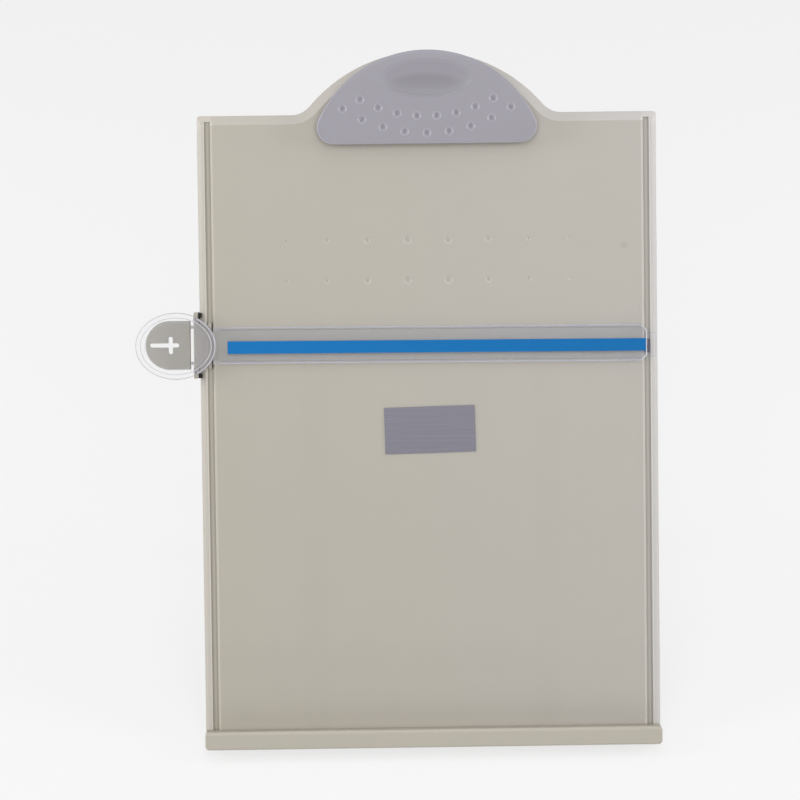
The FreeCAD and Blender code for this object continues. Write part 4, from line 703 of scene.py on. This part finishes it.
BEAD_SIDES = 10
HEAD_STEPS = 96
RIM_BEAD_INSET = 0.0025
RIM_BEAD_HEIGHT = 0.0056
RIM_BEAD_RADIUS = 0.0002
EDGE_BEAD_INSET = 0.0007
EDGE_BEAD_HEIGHT = 0.0053
EDGE_BEAD_RADIUS = 0.0003
EDGE_BEAD_TURN = math.radians(58.0)
END_BEAD_CORNERS = ((0.1058, 0.0088), (0.1082, 0.0060), (0.1082, -0.0060), (0.1058, -0.0088))
END_BEAD_STEPS = 8
END_BEAD_HEIGHT = 0.0029
END_BEAD_RADIUS = 0.00032


def sweep(name, centres, radius, closed):
    """A round bead along a path in the face's plane, as one closed tube in the row frame."""
    vertices = []
    faces = []
    count = len(centres)
    for index, centre in enumerate(centres):
        before = centres[index - 1] if closed or index else centre
        after = centres[(index + 1) % count] if closed or index < count - 1 else centre
        along = (after - before).normalized()
        side = along.cross(out).normalized()
        for step in range(BEAD_SIDES):
            angle = 2.0 * math.pi * step / BEAD_SIDES
            vertices.append(centre + side * (radius * math.cos(angle)) + out * (radius * math.sin(angle)))
    rings = count if closed else count - 1
    for index in range(rings):
        first = index * BEAD_SIDES
        second = ((index + 1) % count) * BEAD_SIDES
        for step in range(BEAD_SIDES):
            following = (step + 1) % BEAD_SIDES
            faces.append((first + step, first + following, second + following, second + step))
    if not closed:
        faces.append(tuple(range(BEAD_SIDES)))
        faces.append(tuple(reversed(range((count - 1) * BEAD_SIDES, count * BEAD_SIDES))))
    mesh = bpy.data.meshes.new(name)
    mesh.from_pydata(vertices, [], faces)
    mesh.materials.append(bead_finish)
    mesh.shade_smooth()
    bead = bpy.data.objects.new(name, mesh)
    bpy.context.scene.collection.objects.link(bead)
    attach(bead, "guide")
    return bead


def on_head(turn, inset, height):
    """A place on the head's oval outline, drawn in by the inset."""
    across = HEAD_CENTRE[0] + (HEAD_HALF[0] - inset) * math.cos(turn)
    level = HEAD_CENTRE[1] + (HEAD_HALF[1] - inset) * math.sin(turn)
    return on_board(across, level, height)


def on_strip(across, above):
    """A place on the strip's end bead, given across the board and above the strip's middle."""
    return on_board(across, strip_level(across) + above, END_BEAD_HEIGHT)


def rim_path():
    """All the way round, where the head's raised rim meets its dish."""
    turns = [2.0 * math.pi * step / HEAD_STEPS for step in range(HEAD_STEPS)]
    return [on_head(turn, RIM_BEAD_INSET, RIM_BEAD_HEIGHT) for turn in turns]


def edge_path():
    """The right part of the head's outline, which lies over the panel."""
    steps = HEAD_STEPS // 2
    turns = [EDGE_BEAD_TURN * (2.0 * step / steps - 1.0) for step in range(steps + 1)]
    return [on_head(turn, EDGE_BEAD_INSET, EDGE_BEAD_HEIGHT) for turn in turns]


def end_path():
    """The strip's right end with its two cut corners."""
    path = []
    for (near_x, near_z), (far_x, far_z) in zip(END_BEAD_CORNERS, END_BEAD_CORNERS[1:]):
        for step in range(END_BEAD_STEPS):
            share = step / END_BEAD_STEPS
            path.append(on_strip(near_x + (far_x - near_x) * share, near_z + (far_z - near_z) * share))
    path.append(on_strip(*END_BEAD_CORNERS[-1]))
    return path


sweep("head_rim_bead", rim_path(), RIM_BEAD_RADIUS, closed=True)
sweep("head_edge_bead", edge_path(), EDGE_BEAD_RADIUS, closed=False)
sweep("strip_end_bead", end_path(), END_BEAD_RADIUS, closed=False)

# Floor, lamps and camera

FLOOR_HALF = 6.0
FLOOR_GREY = srgb(240, 240, 240)
FLOOR_ROUGHNESS = 0.9
FLOOR_GLOW = srgb(253, 253, 253)
FLOOR_KEEPS_SHADE = 0.25

WORLD_STRENGTH = 0.33
WORLD_WHITE = (1.0, 1.0, 1.0, 1.0)
BACKDROP = srgb(242, 242, 242)

CAMERA_PLACE = (-0.03952, 0.28122, 1.8)
CAMERA_AIM = (-0.01481, 0.1648, 0.0)
PICTURE_UP = (0.01319, 0.99784, -0.06436)
PICTURE_PIXELS = 800.0
FOCAL_PIXELS = 3617.98
SENSOR_MM = 36.0
CAMERA_SIGHT = 50.0


def make_floor():
    """A wide pale floor: it shines evenly for the camera, and keeps a part of its own shading and shadow."""
    mesh = bpy.data.meshes.new("floor")
    corners = [(-FLOOR_HALF, -FLOOR_HALF, 0.0), (FLOOR_HALF, -FLOOR_HALF, 0.0),
               (FLOOR_HALF, FLOOR_HALF, 0.0), (-FLOOR_HALF, FLOOR_HALF, 0.0)]
    mesh.from_pydata(corners, [], [(0, 1, 2, 3)])
    floor = bpy.data.objects.new("floor", mesh)
    bpy.context.scene.collection.objects.link(floor)
    graph = Graph("pale_floor")
    graph.set(Base_Color=FLOOR_GREY, Roughness=FLOOR_ROUGHNESS, Specular_IOR_Level=0.0)
    glow = graph.add("ShaderNodeEmission")
    glow.inputs["Color"].default_value = FLOOR_GLOW
    path = graph.add("ShaderNodeLightPath")
    seen = graph.larger(path.outputs["Is Camera Ray"], path.outputs["Is Glossy Ray"])
    seen = graph.larger(seen, path.outputs["Is Transmission Ray"])
    mix = graph.add("ShaderNodeMixShader")
    graph.link(graph.product(seen, 1.0 - FLOOR_KEEPS_SHADE), mix.inputs[0])
    graph.link(graph.shader.outputs["BSDF"], mix.inputs[1])
    graph.link(glow.outputs["Emission"], mix.inputs[2])
    graph.link(mix.outputs["Shader"], graph.output.inputs["Surface"])
    mesh.materials.append(graph.material)


def softbox(name, side, distance, width, share):
    """A square lamp aimed at the board's middle; share is how bright it makes a white face turned to it."""
    aim = on_board(0.0, BOARD_HEIGHT / 2, 0.0)
    toward = board_direction(*side)
    lamp = bpy.data.lights.new(name, "AREA")
    lamp.shape = "SQUARE"
    lamp.size = width
    lamp.energy = share * math.pi ** 2 * distance ** 2
    thing = bpy.data.objects.new(name, lamp)
    bpy.context.scene.collection.objects.link(thing)
    thing.location = aim + toward * distance
    thing.rotation_mode = "QUATERNION"
    thing.rotation_quaternion = toward.to_track_quat("Z", "Y")


def make_world():
    """An even white surround that lights the part, and looks pale to the camera and through glass."""
    world = bpy.data.worlds.new("studio")
    bpy.context.scene.world = world
    world.use_nodes = True
    nodes = world.node_tree.nodes
    links = world.node_tree.links
    light = nodes["Background"]
    light.inputs["Color"].default_value = WORLD_WHITE
    light.inputs["Strength"].default_value = WORLD_STRENGTH
    seen = nodes.new("ShaderNodeBackground")
    seen.inputs["Color"].default_value = BACKDROP
    path = nodes.new("ShaderNodeLightPath")
    either = nodes.new("ShaderNodeMath")
    either.operation = "MAXIMUM"
    links.new(path.outputs["Is Camera Ray"], either.inputs[0])
    links.new(path.outputs["Is Transmission Ray"], either.inputs[1])
    mix = nodes.new("ShaderNodeMixShader")
    links.new(either.outputs["Value"], mix.inputs[0])
    links.new(light.outputs["Background"], mix.inputs[1])
    links.new(seen.outputs["Background"], mix.inputs[2])
    links.new(mix.outputs["Shader"], nodes["World Output"].inputs["Surface"])


def make_camera():
    """Stand the camera where the photograph was taken from, in front of the upper part of the face."""
    place = on_board(*CAMERA_PLACE)
    back = (place - on_board(*CAMERA_AIM)).normalized()
    side = board_direction(*PICTURE_UP).cross(back).normalized()
    upright = back.cross(side)
    camera = bpy.data.cameras.new("camera")
    camera.sensor_width = SENSOR_MM
    camera.lens = SENSOR_MM * FOCAL_PIXELS / PICTURE_PIXELS
    camera.clip_end = CAMERA_SIGHT
    thing = bpy.data.objects.new("camera", camera)
    bpy.context.scene.collection.objects.link(thing)
    thing.matrix_world = Matrix((side, upright, back)).transposed().to_4x4()
    thing.location = place
    bpy.context.scene.camera = thing


make_floor()
softbox("front_lamp", side=(-0.03, 0.18, 1.0), distance=2.6, width=1.8, share=0.33)
softbox("right_lamp", side=(0.93, 0.22, 0.32), distance=1.3, width=0.5, share=0.31)
softbox("left_lamp", side=(-0.93, 0.22, 0.32), distance=1.3, width=0.5, share=0.31)
softbox("top_lamp", side=(0.0, 0.9, 0.45), distance=1.5, width=1.2, share=0.17)
make_world()
make_camera()
bpy.context.scene.view_settings.view_transform = "Standard"
